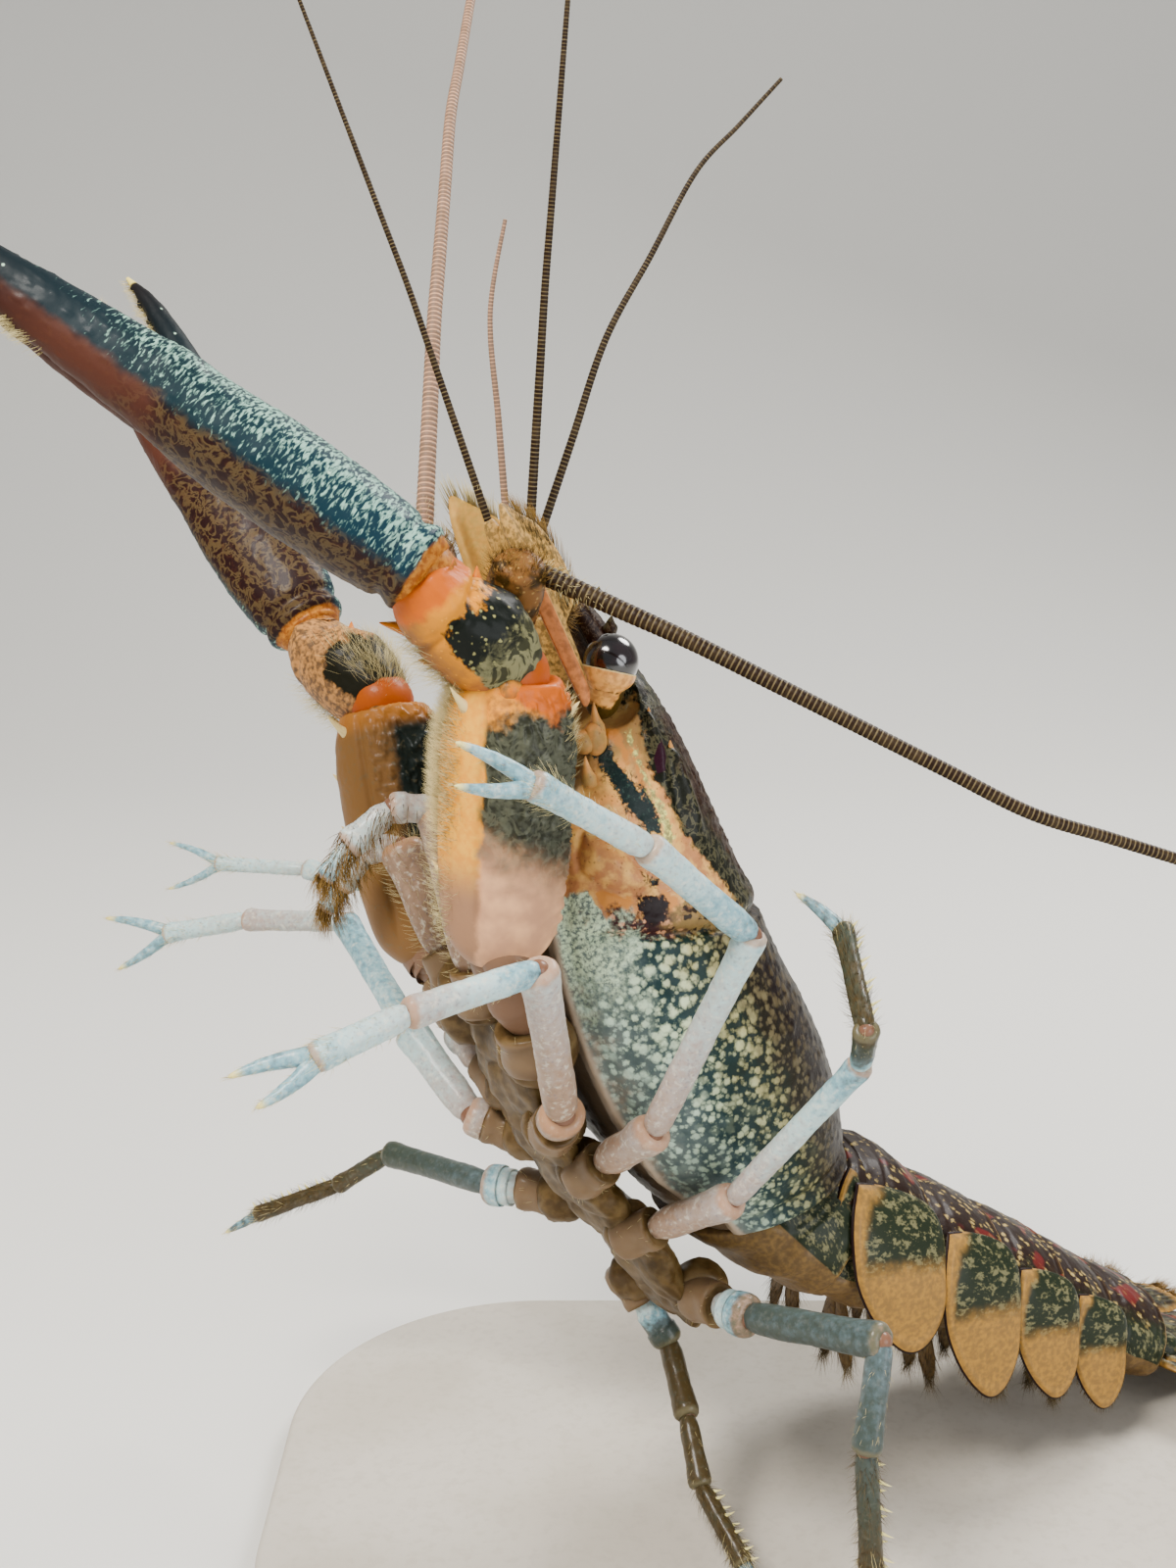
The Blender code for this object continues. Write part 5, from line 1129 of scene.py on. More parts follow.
def claw_piece(rows, root, along, wide, flat, sign, height=None):
    """Flattened rings along a claw: rows hold a distance, half width, half thickness and offset."""
    count = 140
    t = 2 * math.pi * (np.arange(count) + 0.5) / count
    c, s = np.cos(t), np.sin(t)
    c, s = np.sign(c) * np.abs(c) ** 0.92, np.sign(s) * np.abs(s) ** 0.92
    centre = root + along * rows[:, :1] - wide * sign * rows[:, 3:4]
    x, y = rows[:, 1:2] * c, rows[:, 2:3] * s
    return centre[:, None] + wide * x[..., None] + flat * y[..., None], x, y, c + 0 * x, s + 0 * x


def build_hand(side, claw, root, mats, coats):
    length, azimuth, elevation = claw["hand"]
    along = heading(azimuth, elevation)
    wide = heading(*claw["width_up"])
    wide = unit(wide - wide.dot(along) * along)
    flat = np.cross(along, wide)
    half, thick = claw["palm"]
    palm = length * PALM_SHARE
    face = -1 if side == "left" else 1
    rows = [(-0.6, 2.6, 2.4, 0.0), (-0.2, 3.5, 3.3, 0.0)]
    rows += [(s * length, w * half, k * thick, o * half) for s, w, k, o in HAND_FORM]
    rows = fill(rows, 0.33, 1)
    grid, x, y, c, s = claw_piece(rows, root, along, wide, flat, 1)
    d = rows[:, :1] + 0 * x
    share = d / length
    tooth = ramp(np.sin(2 * math.pi * d / 3.3), 0.1, 1) * ramp(c, 0.86, 0.97) * ramp(share, 0.46, 0.5) * ramp(share, 0.97, 0.9)
    pits = ramp(grain(grid, 1.3, "cell"), 0.32, 0.1)
    height = 0.45 * tooth + 0.5 * np.exp(-((d - 1.2) / 0.6) ** 2) - 0.4 * np.exp(-((d - 2.6) / 0.5) ** 2)
    height = height + 0.08 * pits + 0.12 * grain(grid, 3.0) + 0.04 * grain(grid, 0.5)
    grid = lift(grid, height * ramp(share, 1.0, 0.97))
    form = Form()
    tone = np.stack([face * s, share, ramp(share, 0.955, 0.99)], -1)
    form.rings(grid, np.stack([d, x, y], -1), tone)
    ball(form, root + along * 0.2, 3.1, along, (0.2, 0.0, 0.0))
    form.mesh(f"hand_{side}", mats["hand"], f"claw_{side}_hand", "claw_shell")
    hairy = ramp(c, 0.8, 0.95) * ramp(share, 0.46, 0.52) * 0.4
    if side == "left":
        hairy = hairy + ramp(s * face, -0.82, -0.95) * ramp(share, 0.62, 0.7)
    sprout(coats["white"], grid, hairy * ramp(share, 1.0, 0.94), 1500, 1.3, 0.8, radius=0.022, spread=0.12)
    a = math.radians(claw["spread"])
    way = along * math.cos(a) + wide * math.sin(a)
    side_way = wide * math.cos(a) - along * math.sin(a)
    hinge = root + along * (palm + 2.0) + wide * 0.52 * half
    rest = length - palm - 2.0
    rows = [(-1.6, 0.5 * half * 0.4, thick * 0.4, 0.0)]
    rows += [(s * rest, w * half, k * thick, -o * half) for s, w, k, o in FINGER_FORM]
    rows = fill(rows, 0.33, 1)
    grid, x, y, c, s = claw_piece(rows, hinge, way, side_way, flat, 1)
    d = rows[:, :1] + 0 * x
    share = d / rest
    tooth = ramp(np.sin(2 * math.pi * (d + 1.6) / 3.3), 0.1, 1) * ramp(c, -0.86, -0.97) * ramp(share, 0.08, 0.14)
    height = 0.4 * tooth * ramp(share, 0.97, 0.9) + 0.08 * grain(grid, 2.0) + 0.04 * grain(grid, 0.5)
    grid = lift(grid, height * ramp(share, 1.0, 0.96))
    form = Form()
    hue = face * s if side == "left" else 0.3 + 0.5 * ramp(share, 0.2, 0.6) + 0 * s
    tone = np.stack([hue, PALM_SHARE + (1 - PALM_SHARE) * share, ramp(share, 0.92, 0.98)], -1)
    form.rings(grid, np.stack([d + 61, x, y], -1), tone)
    form.mesh(f"finger_{side}", mats["hand"], f"claw_{side}_finger", "claw_shell")
    hairy = ramp(c, -0.8, -0.95) * ramp(share, 0.0, 0.1) * ramp(share, 1.0, 0.94)
    sprout(coats["white"], grid, hairy, 900, 1.2, 0.8, radius=0.022, spread=0.12)


def build_mouth_legs(mats, coats):
    """Third mouth legs, held forward, with a brush of golden bristles."""
    for side, leg in MOUTH_LEGS.items():
        form = Form()
        joints = limb_joints(body(*leg["hip"]), leg["lengths"])
        joints[0] = joints[0] + heading(*leg["lengths"][0][1:]) * (COXA_LENGTH - 0.2)
        bend = unit(np.cross(heading(*leg["lengths"][1][1:]), heading(*leg["lengths"][0][1:])))
        tints = [(0.0, 0.1), (0.3, 0.35), (0.35, 0.42), (0.4, 0.6)]
        grids = limb(form, joints, leg["radii"][:3] + (0.95,), bend, tints, 90.0)
        way = heading(*leg["lengths"][-1][1:])
        finger(form, joints[-1] - way * 0.6, joints[-1] + way * 1.4, 0.55, BACK * 0.05, 1.0)
        form.mesh(f"mouth_leg_{side}_shell", mats["leg"], f"mouth_leg_{side}", "leg_shell")
        down = unit(heading(*leg["lengths"][-1][1:]) + heading(0, -30) * 0.4)
        for grid, count, long in zip(grids[1:], (60, 320, 420), (1.4, 2.4, 2.6)):
            sprout(coats["golden"], grid, 1.0, count, long, 0.25, toward=down, lean=heading(-20, -50) * 0.2, radius=0.03)
        sprout(coats["white"], grids[0], 1.0, 300, 1.6, 0.7, radius=0.022)


def build_eyes(mats):
    for side, sign in (("left", 1), ("right", -1)):
        centre = body(EYE_AT[0], EYE_AT[1], EYE_AT[2] * sign)
        root = body(STALK_FROM[0], STALK_FROM[1], STALK_FROM[2] * sign)
        along = unit(centre - root)
        reach = float(np.linalg.norm(centre - root))
        form = Form()
        ball(form, centre, EYE_RADIUS, along, (0, 0, 0), (1.02, 1.0), 72)
        form.mesh(f"eye_{side}_ball", mats["eye"], f"eye_{side}", "eye_black")
        sight = unit(body(*EYE_AT) - np.array(CAMERA_AT))
        if sign < 0:
            sight = sight - 2 * LEFT * sight.dot(LEFT)
        axis = unit(along - sight * along.dot(sight))
        form = Form()
        marks = [(-1.2, 1.2, 1.1), (0.0, 1.75, 1.6), (reach - 2.4, 2.05, 1.9), (reach - 1.6, 1.9, 1.8), (reach - 1.2, 1.0, 1.0)]
        grid, rows, t = oval_barrel(root, along, marks, LEFT, 60, 0.15)
        # shade: lower at the stalk's foot and on its side toward the back; the paint turns it into painted shade.
        shade = 0.14 + 0.5 * rows[:, :1] / reach - 0.3 * ramp(unit(grid - (root + along * rows[:, :1])[:, None]) @ BACK, -0.2, 0.7)
        form.rings(grid, grid - root, np.stack([shade, 0 * shade, 0 * shade], -1))
        marks = [(EYE_RADIUS * (1 - math.cos(math.pi * a)), wide * EYE_RADIUS, wide * EYE_RADIUS)
                 for a, wide in ((0.12, 0.64), (0.16, 0.73), (0.2, 0.81), (0.26, 0.9), (0.32, 0.97), (0.38, 1.0))]
        marks[0] = (-0.3, 0.5 * EYE_RADIUS, 0.5 * EYE_RADIUS)
        marks += [(marks[-1][0] + 0.14, EYE_RADIUS, EYE_RADIUS), (marks[-1][0] + 0.16, 0.94 * EYE_RADIUS, 0.94 * EYE_RADIUS)]
        grid, rows, t = oval_barrel(centre - axis * EYE_RADIUS, axis, marks, LEFT, 80, 0.12)
        grid = lift(grid, 0.03 * grain(grid, 0.7))
        share = 0.3 + 0.7 * rows[:, :1] / rows[-1, 0] + np.zeros((1, 80))
        form.rings(grid, grid - root, np.stack([share, 0 * share, 0 * share], -1))
        form.mesh(f"eyestalk_{side}_cup", mats["stalk"], f"eyestalk_{side}", "stalk_skin")


def feeler_rings(path, pitch, count, hue, root, ring=0.09):
    """Ringed whip: rows of path hold a place and a radius; tone tells ring from groove."""
    rows = fill(path, 0.1)
    run = np.concatenate([[0], np.cumsum(np.linalg.norm(np.diff(rows[:, :3], axis=0), axis=1))])
    fine = np.arange(0, run[-1], 0.085)
    rows = np.stack([np.interp(fine, run, rows[:, i]) for i in range(4)], -1)
    local = pitch * (0.45 + 0.55 * rows[:, 3] / rows[0, 3])
    phase = np.cumsum(0.085 / local)
    swell = np.abs(np.sin(math.pi * phase)) ** 0.7
    radius = rows[:, 3] * (1 - ring + ring * swell)
    grid = tube(np.column_stack([rows[:, :3], radius, radius]), np.array((0.3, 0.9, 0.2)), count)
    tone = np.stack([swell, hue + 0 * swell, 0 * swell], -1)[:, None, :] + np.zeros_like(grid)
    return grid, grid - root, tone


def whip_path(start, lengths, marks):
    """Rows along straight lengths, radius running through marks."""
    points = [start]
    for length, azimuth, elevation in lengths:
        steps = max(1, round(length / 8))
        for _ in range(steps):
            points.append(points[-1] + heading(azimuth, elevation) * (length / steps))
    run = np.concatenate([[0], np.cumsum(np.linalg.norm(np.diff(points, axis=0), axis=1))])
    radius = np.interp(run, [a for a, _ in marks], [r for _, r in marks])
    return [(*p, r) for p, r in zip(points, radius)]


def leaf(form, outline, place, thick, tone, count=120, levels=22, edge=8, offset=0.0):
    """Closed plate over a smooth outline: place gives its middle surface, thick its half thickness."""
    loop = np.array(outline + outline[:3], float)
    loop = fill(loop, 0.02 * np.ptp(loop), 2)
    run = np.concatenate([[0], np.cumsum(np.linalg.norm(np.diff(loop, axis=0), axis=1))])
    first = run[-1] * 0 + np.interp(1, [0, 1], [0, 0])
    keep = np.argmin(np.linalg.norm(loop[len(loop) // 2:] - loop[0], axis=1)) + len(loop) // 2
    run = run[:keep + 1]
    at = np.linspace(first, run[-1], count, endpoint=False)
    ring = np.stack([np.interp(at, run, loop[:keep + 1, i]) for i in range(2)], -1)
    middle = ring.mean(0)
    share = np.sin(np.linspace(0.03, math.pi / 2, levels))[:, None]
    flat = middle + (ring - middle)[None] * share[..., None]
    a, b = flat[..., 0], flat[..., 1]
    here = place(a, b)
    out = unit(np.cross(place(a + 1e-3, b) - here, place(a, b + 1e-3) - here))
    full = (1 - share ** edge) ** 0.5
    high = (thick(a, b, share) * full)[..., None]
    top, low = here + out * (high + offset), here - out * (high - offset)
    grid = np.concatenate([top, low[::-1][1:]])
    rho = np.concatenate([share + 0 * a, (share + 0 * a)[::-1][1:]])
    aa, bb = np.concatenate([a, a[::-1][1:]]), np.concatenate([b, b[::-1][1:]])
    form.rings(grid, grid - here.mean((0, 1)), tone(aa, bb, rho))
    return here[-1], unit(here[-1] - here[-2]), out[-1]


def fringe(coat, rim, ways, mask, count, length, toward, radius=0.03, spread=0.12):
    """Comb of bristles along the rim of a plate."""
    pick = DRAW.choice(len(rim), int(count), p=np.clip(mask, 0, None) / np.clip(mask, 0, None).sum())
    part = DRAW.rand(len(pick), 1)
    roots = rim[pick] * (1 - part) + np.roll(rim, -1, 0)[pick] * part
    ways = unit(ways[pick] + toward + DRAW.normal(size=roots.shape) * spread)
    coat.grow(roots - ways * 0.1, ways, toward * 0.2, length * (0.6 + 0.6 * DRAW.rand(len(pick))), radius,
              np.stack([pick / len(rim), 0.9 + 0.05 * DRAW.rand(len(pick))], -1))


SCALE_OUTLINE = [(0.0, -0.9), (0.4, -1.1), (0.8, -0.9), (0.94, -0.5), (1.0, 0.2), (0.93, 1.8), (0.8, 4.2), (0.6, 5.2),
                 (0.44, 4.2), (0.34, 1.4), (0.08, 0.9)]


def build_feelers(mats, coats):
    """Scales, stalks and all the ringed feelers."""
    for side, sign in (("left", 1), ("right", -1)):
        root = body(61.0, 0.4, 9.6 * sign)
        tip = body(81.4, -1.0, 6.8 * sign)
        along = unit(tip - root)
        reach = float(np.linalg.norm(tip - root))
        inward = LEFT * -sign * 0.5 + BACK * 0.85
        inward = unit(inward - inward.dot(along) * along)
        out = np.cross(along, inward)

        def place(s, w, root=root, along=along, reach=reach, inward=inward, out=out):
            bow = 0.05 * np.sin(w * 3.0 + s * 9) * ramp(w, 0.2, 1.5)
            return root + along * (s * reach)[..., None] + inward * w[..., None] + out * bow[..., None]

        def thick(s, w, rho):
            return 0.28 + 0.62 * np.exp(-((w + 0.15) / 0.62) ** 2) * ramp(s, 1.0, 0.9)

        def tone(s, w, rho, sign=sign):
            rib = ramp(w, 0.75, 0.3) * (ramp(s, 0.72, 0.6) if sign > 0 else 0.25)
            # The blade's y is the brown of painted shade: strong on the left blade, faint on the right one.
            return np.stack([rib, (1 - rib) * (0.9 if sign > 0 else 0.25), 0 * rib], -1)

        form = Form()
        rim, ways, _ = leaf(form, SCALE_OUTLINE, place, thick, tone, 160, 30)
        form.mesh(f"scale_{side}", mats["scale"], f"antenna_scale_{side}", "joint_skin")
        inner = ramp((rim - root) @ inward, 1.0, 1.8)
        # The left scale's fringe is golden where the right one's is white: darker as painted shade.
        hairs = coats["golden"] if sign > 0 else coats["white"]
        if sign < 0:
            comb = ramp((rim - root) @ along, reach * 0.35, reach * 0.5) * ramp(rim[:, 0] - rim[:, 0].mean(), 0.5, -1.5)
            fringe(hairs, rim, ways, comb, 90, 3.0, heading(-90, 30) * 0.9, 0.04, 0.05)
        fringe(hairs, rim, ways, inner, 420, 1.8, along * 0.9, 0.025, 0.08)
        # Brown bristles inside the left scale's blade: painted shade, like the blade's brown.
        if sign > 0:
            inside = (rim.mean(0) - rim) * DRAW.rand(len(rim), 1) * 0.6 + rim
            for shift in (out, -out):
                fringe(coats["brown"], inside + shift * 0.3, along + shift * 0.3 + 0 * rim, inner + 0.2, 260, 1.3, along * 0.8, 0.02, 0.2)
        start, end = body(60.8, -4.6, 6.6 * sign), body(73.0, -4.6, 8.8 * sign)
        way = unit(end - start)
        form = Form()
        for low, high, r, olive in ((0.0, 4.6, 2.3, 0.1), (4.2, 10.6, 2.1, 0.2), (9.9, 14.4, 2.6, 1.0)):
            a, long = start + way * low, high - low
            if olive > 0.9:
                goal = body(77.0, -3.0, 13.4 * sign)
                way, long = unit(goal - a), float(np.linalg.norm(goal - a))
            marks = [(-0.2, 0.7 * r), (0.3, 0.9 * r), (long * 0.5, 1.05 * r), (long * 0.78, 1.02 * r), (long - 0.4, 0.84 * r),
                     (long, 0.5 * r)]
            grid, local = barrel(a, a + way * long, marks, LEFT, 60, 0.25)
            grid = lift(grid, 0.1 * grain(grid, 1.2) + 0.05 * grain(grid, 0.5))
            form.rings(grid, local + 30 * olive, np.zeros_like(grid) + (0, 0.6, olive))
        form.mesh(f"feeler_stalk_{side}", mats["scale"], f"antenna_stalk_{side}", "joint_skin")
        sprout(coats["golden"], grid, ramp(grid[..., 2], grid[..., 2].mean(), grid[..., 2].max()), 420, 1.5, 0.7, radius=0.024, spread=0.3)
        start, end = body(61.5, 1.0, 2.6 * sign), body(75.0, 1.6, 3.0 * sign)
        way = unit(end - start)
        form = Form()
        for low, high, r in ((0.0, 7.6, 1.8), (7.4, 10.8, 1.55), (10.6, 13.6, 1.5)):
            a, long = start + way * low, high - low
            marks = [(-0.2, 0.7 * r), (0.3, 0.92 * r), (long * 0.5, r), (long - 0.5, 1.05 * r), (long, 0.9 * r), (long - 0.1, 0.6 * r)]
            grid, local = barrel(a, a + way * long, marks, LEFT, 48, 0.25)
            grid = lift(grid, 0.06 * grain(grid, 0.9))
            form.rings(grid, local + 10 * low, np.zeros_like(grid) + (0, 0.9, 0.1))
            sprout(coats["golden"], grid, 1.0, 160, 1.4, 0.4, radius=0.022, spread=0.3)
        for name, at, lengths, first, _ in WHIPS:
            if side in name:
                foot, goal = end - way * 1.6, body(*at) + heading(*lengths[0][1:]) * 0.5
                long = float(np.linalg.norm(goal - foot))
                grid, local = barrel(foot, goal, [(0, 0.9), (long * 0.6, 0.95), (long - 0.3, first * 1.5), (long, first * 1.1)], LEFT, 32, 0.2)
                form.rings(grid, local + 50, np.zeros_like(grid) + (0, 0.9, 0.1))
        form.mesh(f"feeler_root_{side}", mats["scale"], f"antennule_stalk_{side}", "joint_skin")
    for name, at, lengths, first, last in WHIPS:
        total = sum(one[0] for one in lengths)
        form = Form()
        path = whip_path(body(*at), lengths, [(0, first), (total, last)])
        hue = 0.75 if name == "antennule_right_inner" else 0.1
        form.rings(*feeler_rings(path, 0.42, 12, hue, body(*at)))
        form.mesh(f"{name}_whip", mats["feeler"], name, "feeler")
    for side, at, lengths in LONG_FEELERS:
        total = sum(one[0] for one in lengths)
        form = Form()
        path = whip_path(body(*at), lengths, [(0, 1.0), (lengths[0][0], 0.8), (total, 0.3)])
        grid, local, tone = feeler_rings(path, RING_PITCH, 22, 0.05 if side == "left" else 0.8, body(*at))
        form.rings(grid, local, tone)
        form.mesh(f"antenna_{side}", mats["feeler"], [f"antenna_{side}_base", f"antenna_{side}_whip"], "feeler")
        near = ramp(np.arange(len(grid)) * 0.085, 9, 0)[:, None]
        sprout(coats["white"], grid, near, 160, 0.8, 0.7, radius=0.02)


def build_tail(mats, coats):
    """Tail shells with their side leaves, swimming legs and the fan."""
    points, ways = [body(*ABDOMEN_FROM, 0)], []
    for length, turn, *_ in ABDOMEN:
        t = math.radians(turn)
        ways.append(-FORE * math.cos(t) + BACK * math.sin(t))
        points.append(points[-1] + ways[-1] * length)
    count = 170
    t = 2 * math.pi * (np.arange(count) + 0.5) / count
    c, k = np.cos(t), np.sin(t)
    for i, (length, turn, half, top, low) in enumerate(ABDOMEN):
        before = ways[i - 1] if i else -FORE * 2 - ways[0]
        after = ways[i + 1] if i + 1 < len(ways) else ways[i]
        nxt = ABDOMEN[i + 1] if i + 1 < len(ABDOMEN) else ABDOMEN[i]
        parts = np.linspace(0, 1, 34)
        swell = np.interp(parts, (0, 0.2, 0.55, 0.85, 1), (0.95, 1.0, 1.03, 1.02, 0.97))
        rings = []
        for part, full in zip(parts, swell):
            way = unit(unit(before + ways[i]) * (1 - part) + unit(ways[i] + after) * part)
            up = np.cross(way, LEFT)
            up = -up if up.dot(BACK) < 0 else up
            centre = points[i] * (1 - part) + points[i + 1] * part - ways[i] * (1.1 * (1 - part) - 0.1)
            w = (half + (nxt[2] - half) * part) * full
            h = (top + (nxt[3] - top) * part * (1.0 if i else 0.4)) * full
            b = low + (nxt[4] - low) * part
            high = np.where(k >= 0, h, b)
            x = np.sign(c) * np.abs(c) ** np.where(k >= 0, 0.9, 0.7) * w
            y = np.sign(k) * np.abs(k) ** 0.95 * high
            rings.append(centre + LEFT * x[:, None] + up * y[:, None])
        grid = np.array(rings)
        p = parts[:, None] + 0 * c
        shell = ramp(k, -0.25, -0.05) + 0 * p
        height = -0.4 * ramp(p, 0.3, 0.2) * shell - 0.3 * np.exp(-((p - 0.3) / 0.035) ** 2) * shell
        height = height + 0.3 * np.exp(-((p - 0.95) / 0.03) ** 2) * shell + 0.1 * grain(grid, 1.4) + 0.05 * grain(grid, 0.6)
        height = height + 0.25 * np.sin(p * 14) * (1 - shell)
        grid = lift(grid, height)
        form = Form()
        form.rings(grid, in_body(grid), np.stack([0.5 * ramp(p, 0.9, 0.99), np.clip(1 - k, 0, 1) + 0 * p, 1 - shell], -1))
        if i < len(PLEURA):
            up = np.cross(ways[i], LEFT)
            up = -up if up.dot(BACK) < 0 else up
            for sign in (1, -1):
                side_leaf(form, points[i] + ways[i] * length * 0.5, ways[i], up, half, PLEURA[i], sign, coats)
        if 0 < i < 5:
            for sign in (1, -1):
                for turned in (-1, 1):
                    blade(form, points[i] + ways[i] * length * 0.5, ways[i], up, low, SWIMMERETS[i - 1], sign, turned, coats)
        form.mesh(f"tail_{i + 1}", mats["tail"], f"abdomen_{i + 1}", "shell_tail")
    build_fan(points[-1], ways[-1], mats, coats)


def side_leaf(form, centre, along, up, half, leaf_form, sign, coats):
    """Side leaf of a tail shell, a pillow with a raised rim and a thin dark edge."""
    deep, long, sweep, inset, rise, shift = leaf_form

    def place(s, u):
        high = u * deep + rise
        out = sign * (half - inset - LEAF_CURL * np.clip(high, 0, None) ** 2 - 0.6 * u)
        return (centre + along * ((s - sweep * u) * long + shift)[..., None] + up * high[..., None]
                + LEFT * out[..., None])

    def open_rim(s, u):
        return np.maximum(ramp(s, 0.0, -0.3), ramp(u, -0.15, -0.45))

    def thick(s, u, rho):
        return 0.4 + 0.26 * np.exp(-((rho - 0.9) / 0.06) ** 2) * open_rim(s, u) + 0.5 * (1 - rho ** 2)

    def tone(s, u, rho):
        pale = np.maximum(ramp(u - 0.25 * s, -0.2, -0.6), ramp(rho, 0.66, 0.92) * open_rim(s, u) * 0.85)
        return np.stack([pale * 0.8 + (rho > 0.975) * open_rim(s, u), 0.8 + 0 * rho, 0 * rho], -1)

    rim, ways, out = leaf(form, LEAF_OUTLINE, place, thick, tone, 170, 30)
    lower = ramp((rim - centre) @ up, rise - 0.3 * deep, rise - 0.6 * deep)
    fringe(coats["brown"], rim, ways, lower + 0.01, 200, 0.8, -up * 0.3, 0.018)


def blade(form, centre, along, up, low, size, sign, turned, coats):
    """One blade of a swimming leg with its fringe."""
    long, wide, side = size
    way = unit(along * 0.4 - up + LEFT * sign * (0.12 + 0.22 * turned))
    root = centre + LEFT * sign * (side + turned * 0.7) - up * (low - 1.6)
    rows = []
    for part, share in ((0.0, 0.4), (0.2, 0.62), (0.55, 1.0), (0.8, 0.9), (0.95, 0.5), (1.0, 0.12)):
        p = root + way * part * (long + 1.6)
        rows.append((*p, wide * share / 2, 0.32 * (1 - 0.5 * part)))
    grid = tube(fill(rows, 0.3), along, 40)
    form.rings(grid, grid - root, np.zeros_like(grid) + (0, 1, 1))
    tip = np.linspace(0, 1, len(grid))[:, None] ** 2
    sprout(coats["brown"], grid, tip, 220, 2.2, 0.2, radius=0.02, spread=0.15)


def build_fan(root, way, mats, coats):
    t = math.radians(FAN_TURN)
    along = -FORE * math.cos(t) + BACK * math.sin(t)
    up = np.cross(along, LEFT)
    up = -up if up.dot(BACK) < 0 else up
    start = root - way * 0.4
    form = Form()
    shares = ((0.0, 0.8), (0.15, 1.0), (0.5, 0.94), (0.8, 0.82), (0.95, 0.66), (1.0, 0.4))
    grid = fan_blade(form, start, along, LEFT, up, TELSON_LENGTH, TELSON_WIDTH, 1.2, shares, 1)
    sprout(coats["golden"], grid, np.linspace(0, 1, len(grid))[:, None] ** 30, 700, 2.6, 0.1, toward=along, radius=0.028)
    form.mesh("telson_shell", mats["tail"], "telson", "shell_tail")
    for side, sign in (("left", 1), ("right", -1)):
        hub = start + LEFT * sign * 7.4 + along * 2.4
        form = Form()
        for turn, long, wide, drop in ((16, 19.0, 8.6, -0.4), (44, 19.5, 9.4, -0.9)):
            a = math.radians(turn) * sign
            out = along * math.cos(a) + LEFT * math.sin(a)
            across_it = LEFT * math.cos(a) - along * math.sin(a)
            shares = ((0.0, 0.35), (0.2, 0.66), (0.5, 0.96), (0.75, 1.0), (0.92, 0.8), (1.0, 0.45))
            grid = fan_blade(form, hub + up * drop, out, across_it, up, long, wide, 0.65, shares, 2)
            sprout(coats["golden"], grid, np.linspace(0, 1, len(grid))[:, None] ** 26, 700, 2.6, 0.1, toward=out, radius=0.028)
        near = root + LEFT * sign * 4.0 - way * 1.6
        long = float(np.linalg.norm(hub + along * 2.4 - near))
        marks = [(0, 1.6), (0.6, 2.2), (long - 2.0, 2.1), (long - 0.7, 1.8), (long, 1.1)]
        grid, local = barrel(near, hub + along * 2.4, marks, up, 40)
        form.rings(grid, local, np.zeros_like(grid) + (0, 0.6, 0))
        form.mesh(f"fan_{side}", mats["tail"], f"uropod_{side}", "shell_tail")


def fan_blade(form, start, along, side, up, long, wide, thick, shares, ribs):
    """Oval plate with a raised midrib, a cross line and fine pleats toward its edge."""
    rows = fill([(s * long, w * wide / 2) for s, w in shares], 0.3, 2)
    count = 150
    t = 2 * math.pi * (np.arange(count) + 0.5) / count
    c = np.sign(np.cos(t)) * np.abs(np.cos(t)) ** 0.75
    k = np.sign(np.sin(t)) * np.abs(np.sin(t)) ** 0.6
    s = rows[:, :1] / long
    x = rows[:, 1:2] * c
    flat = thick * (1 - 0.45 * s) * ramp(s, 1.02, 0.94) * np.sqrt(np.clip(1 - c ** 8, 0.02, 1))
    y = flat * k
    pleat = 0.06 * np.sin(x * 7.0) * ramp(s, 0.55, 0.8)
    rib = 0.4 * np.exp(-(x / 0.6) ** 2) * ramp(s, 0.9, 0.6) - 0.2 * np.exp(-((s - 0.7) / 0.012) ** 2)
    if ribs == 1:
        rib = 0.3 * (np.exp(-((np.abs(x) - 1.8) / 0.5) ** 2)) * ramp(s, 0.7, 0.3) - 0.2 * np.exp(-((s - 0.62) / 0.012) ** 2)
    y = y + (rib * (k > 0) + pleat) * ramp(s, 1.0, 0.97) + 0.02 * x * x * -1
    grid = start + along * rows[:, :1][..., None] + side * x[..., None] + up * y[..., None]
    rim = np.maximum(np.abs(c) ** 6 * 0.6, ramp(s, 0.8, 1.0) * 0.7)
    form.rings(grid, np.stack([s * long + 0 * x, x, y], -1), np.stack([rim + 0 * x, 0.45 + 0 * x, 0 * x], -1))
    return grid


def build_base(mats):
    """Flat oblong base with round ends and a softened edge."""
    length, width, thick, corner, bevel = 132.0, 84.0, 4.0, 30.0, 0.8
    ring = []
    for cx, cy, start in ((1, 1, 0), (-1, 1, 90), (-1, -1, 180), (1, -1, 270)):
        for k in range(40):
            a = math.radians(start + k * 90 / 39)
            ring.append((cx * (length / 2 - corner), cy * (width / 2 - corner), math.cos(a), math.sin(a)))
    ring = np.array(ring)
    grid = []
    marks = [(0.0, 0.5)] + [(bevel * 0.3 * k / 4, 0.5 - 0.5 * math.sin(math.pi * k / 8)) for k in range(1, 5)]
    marks += [(thick - bevel + bevel * math.sin(math.pi * k / 12), bevel * (1 - math.cos(math.pi * k / 12))) for k in range(7)]
    for z, inset in marks:
        r = corner - inset
        grid.append(np.column_stack([ring[:, 0] + r * ring[:, 2], ring[:, 1] + r * ring[:, 3], z + 0 * ring[:, 0]]))
    form = Form()
    form.rings(np.array(grid))
    form.mesh("base", mats["plate"], "stand_base", "stand_plate")


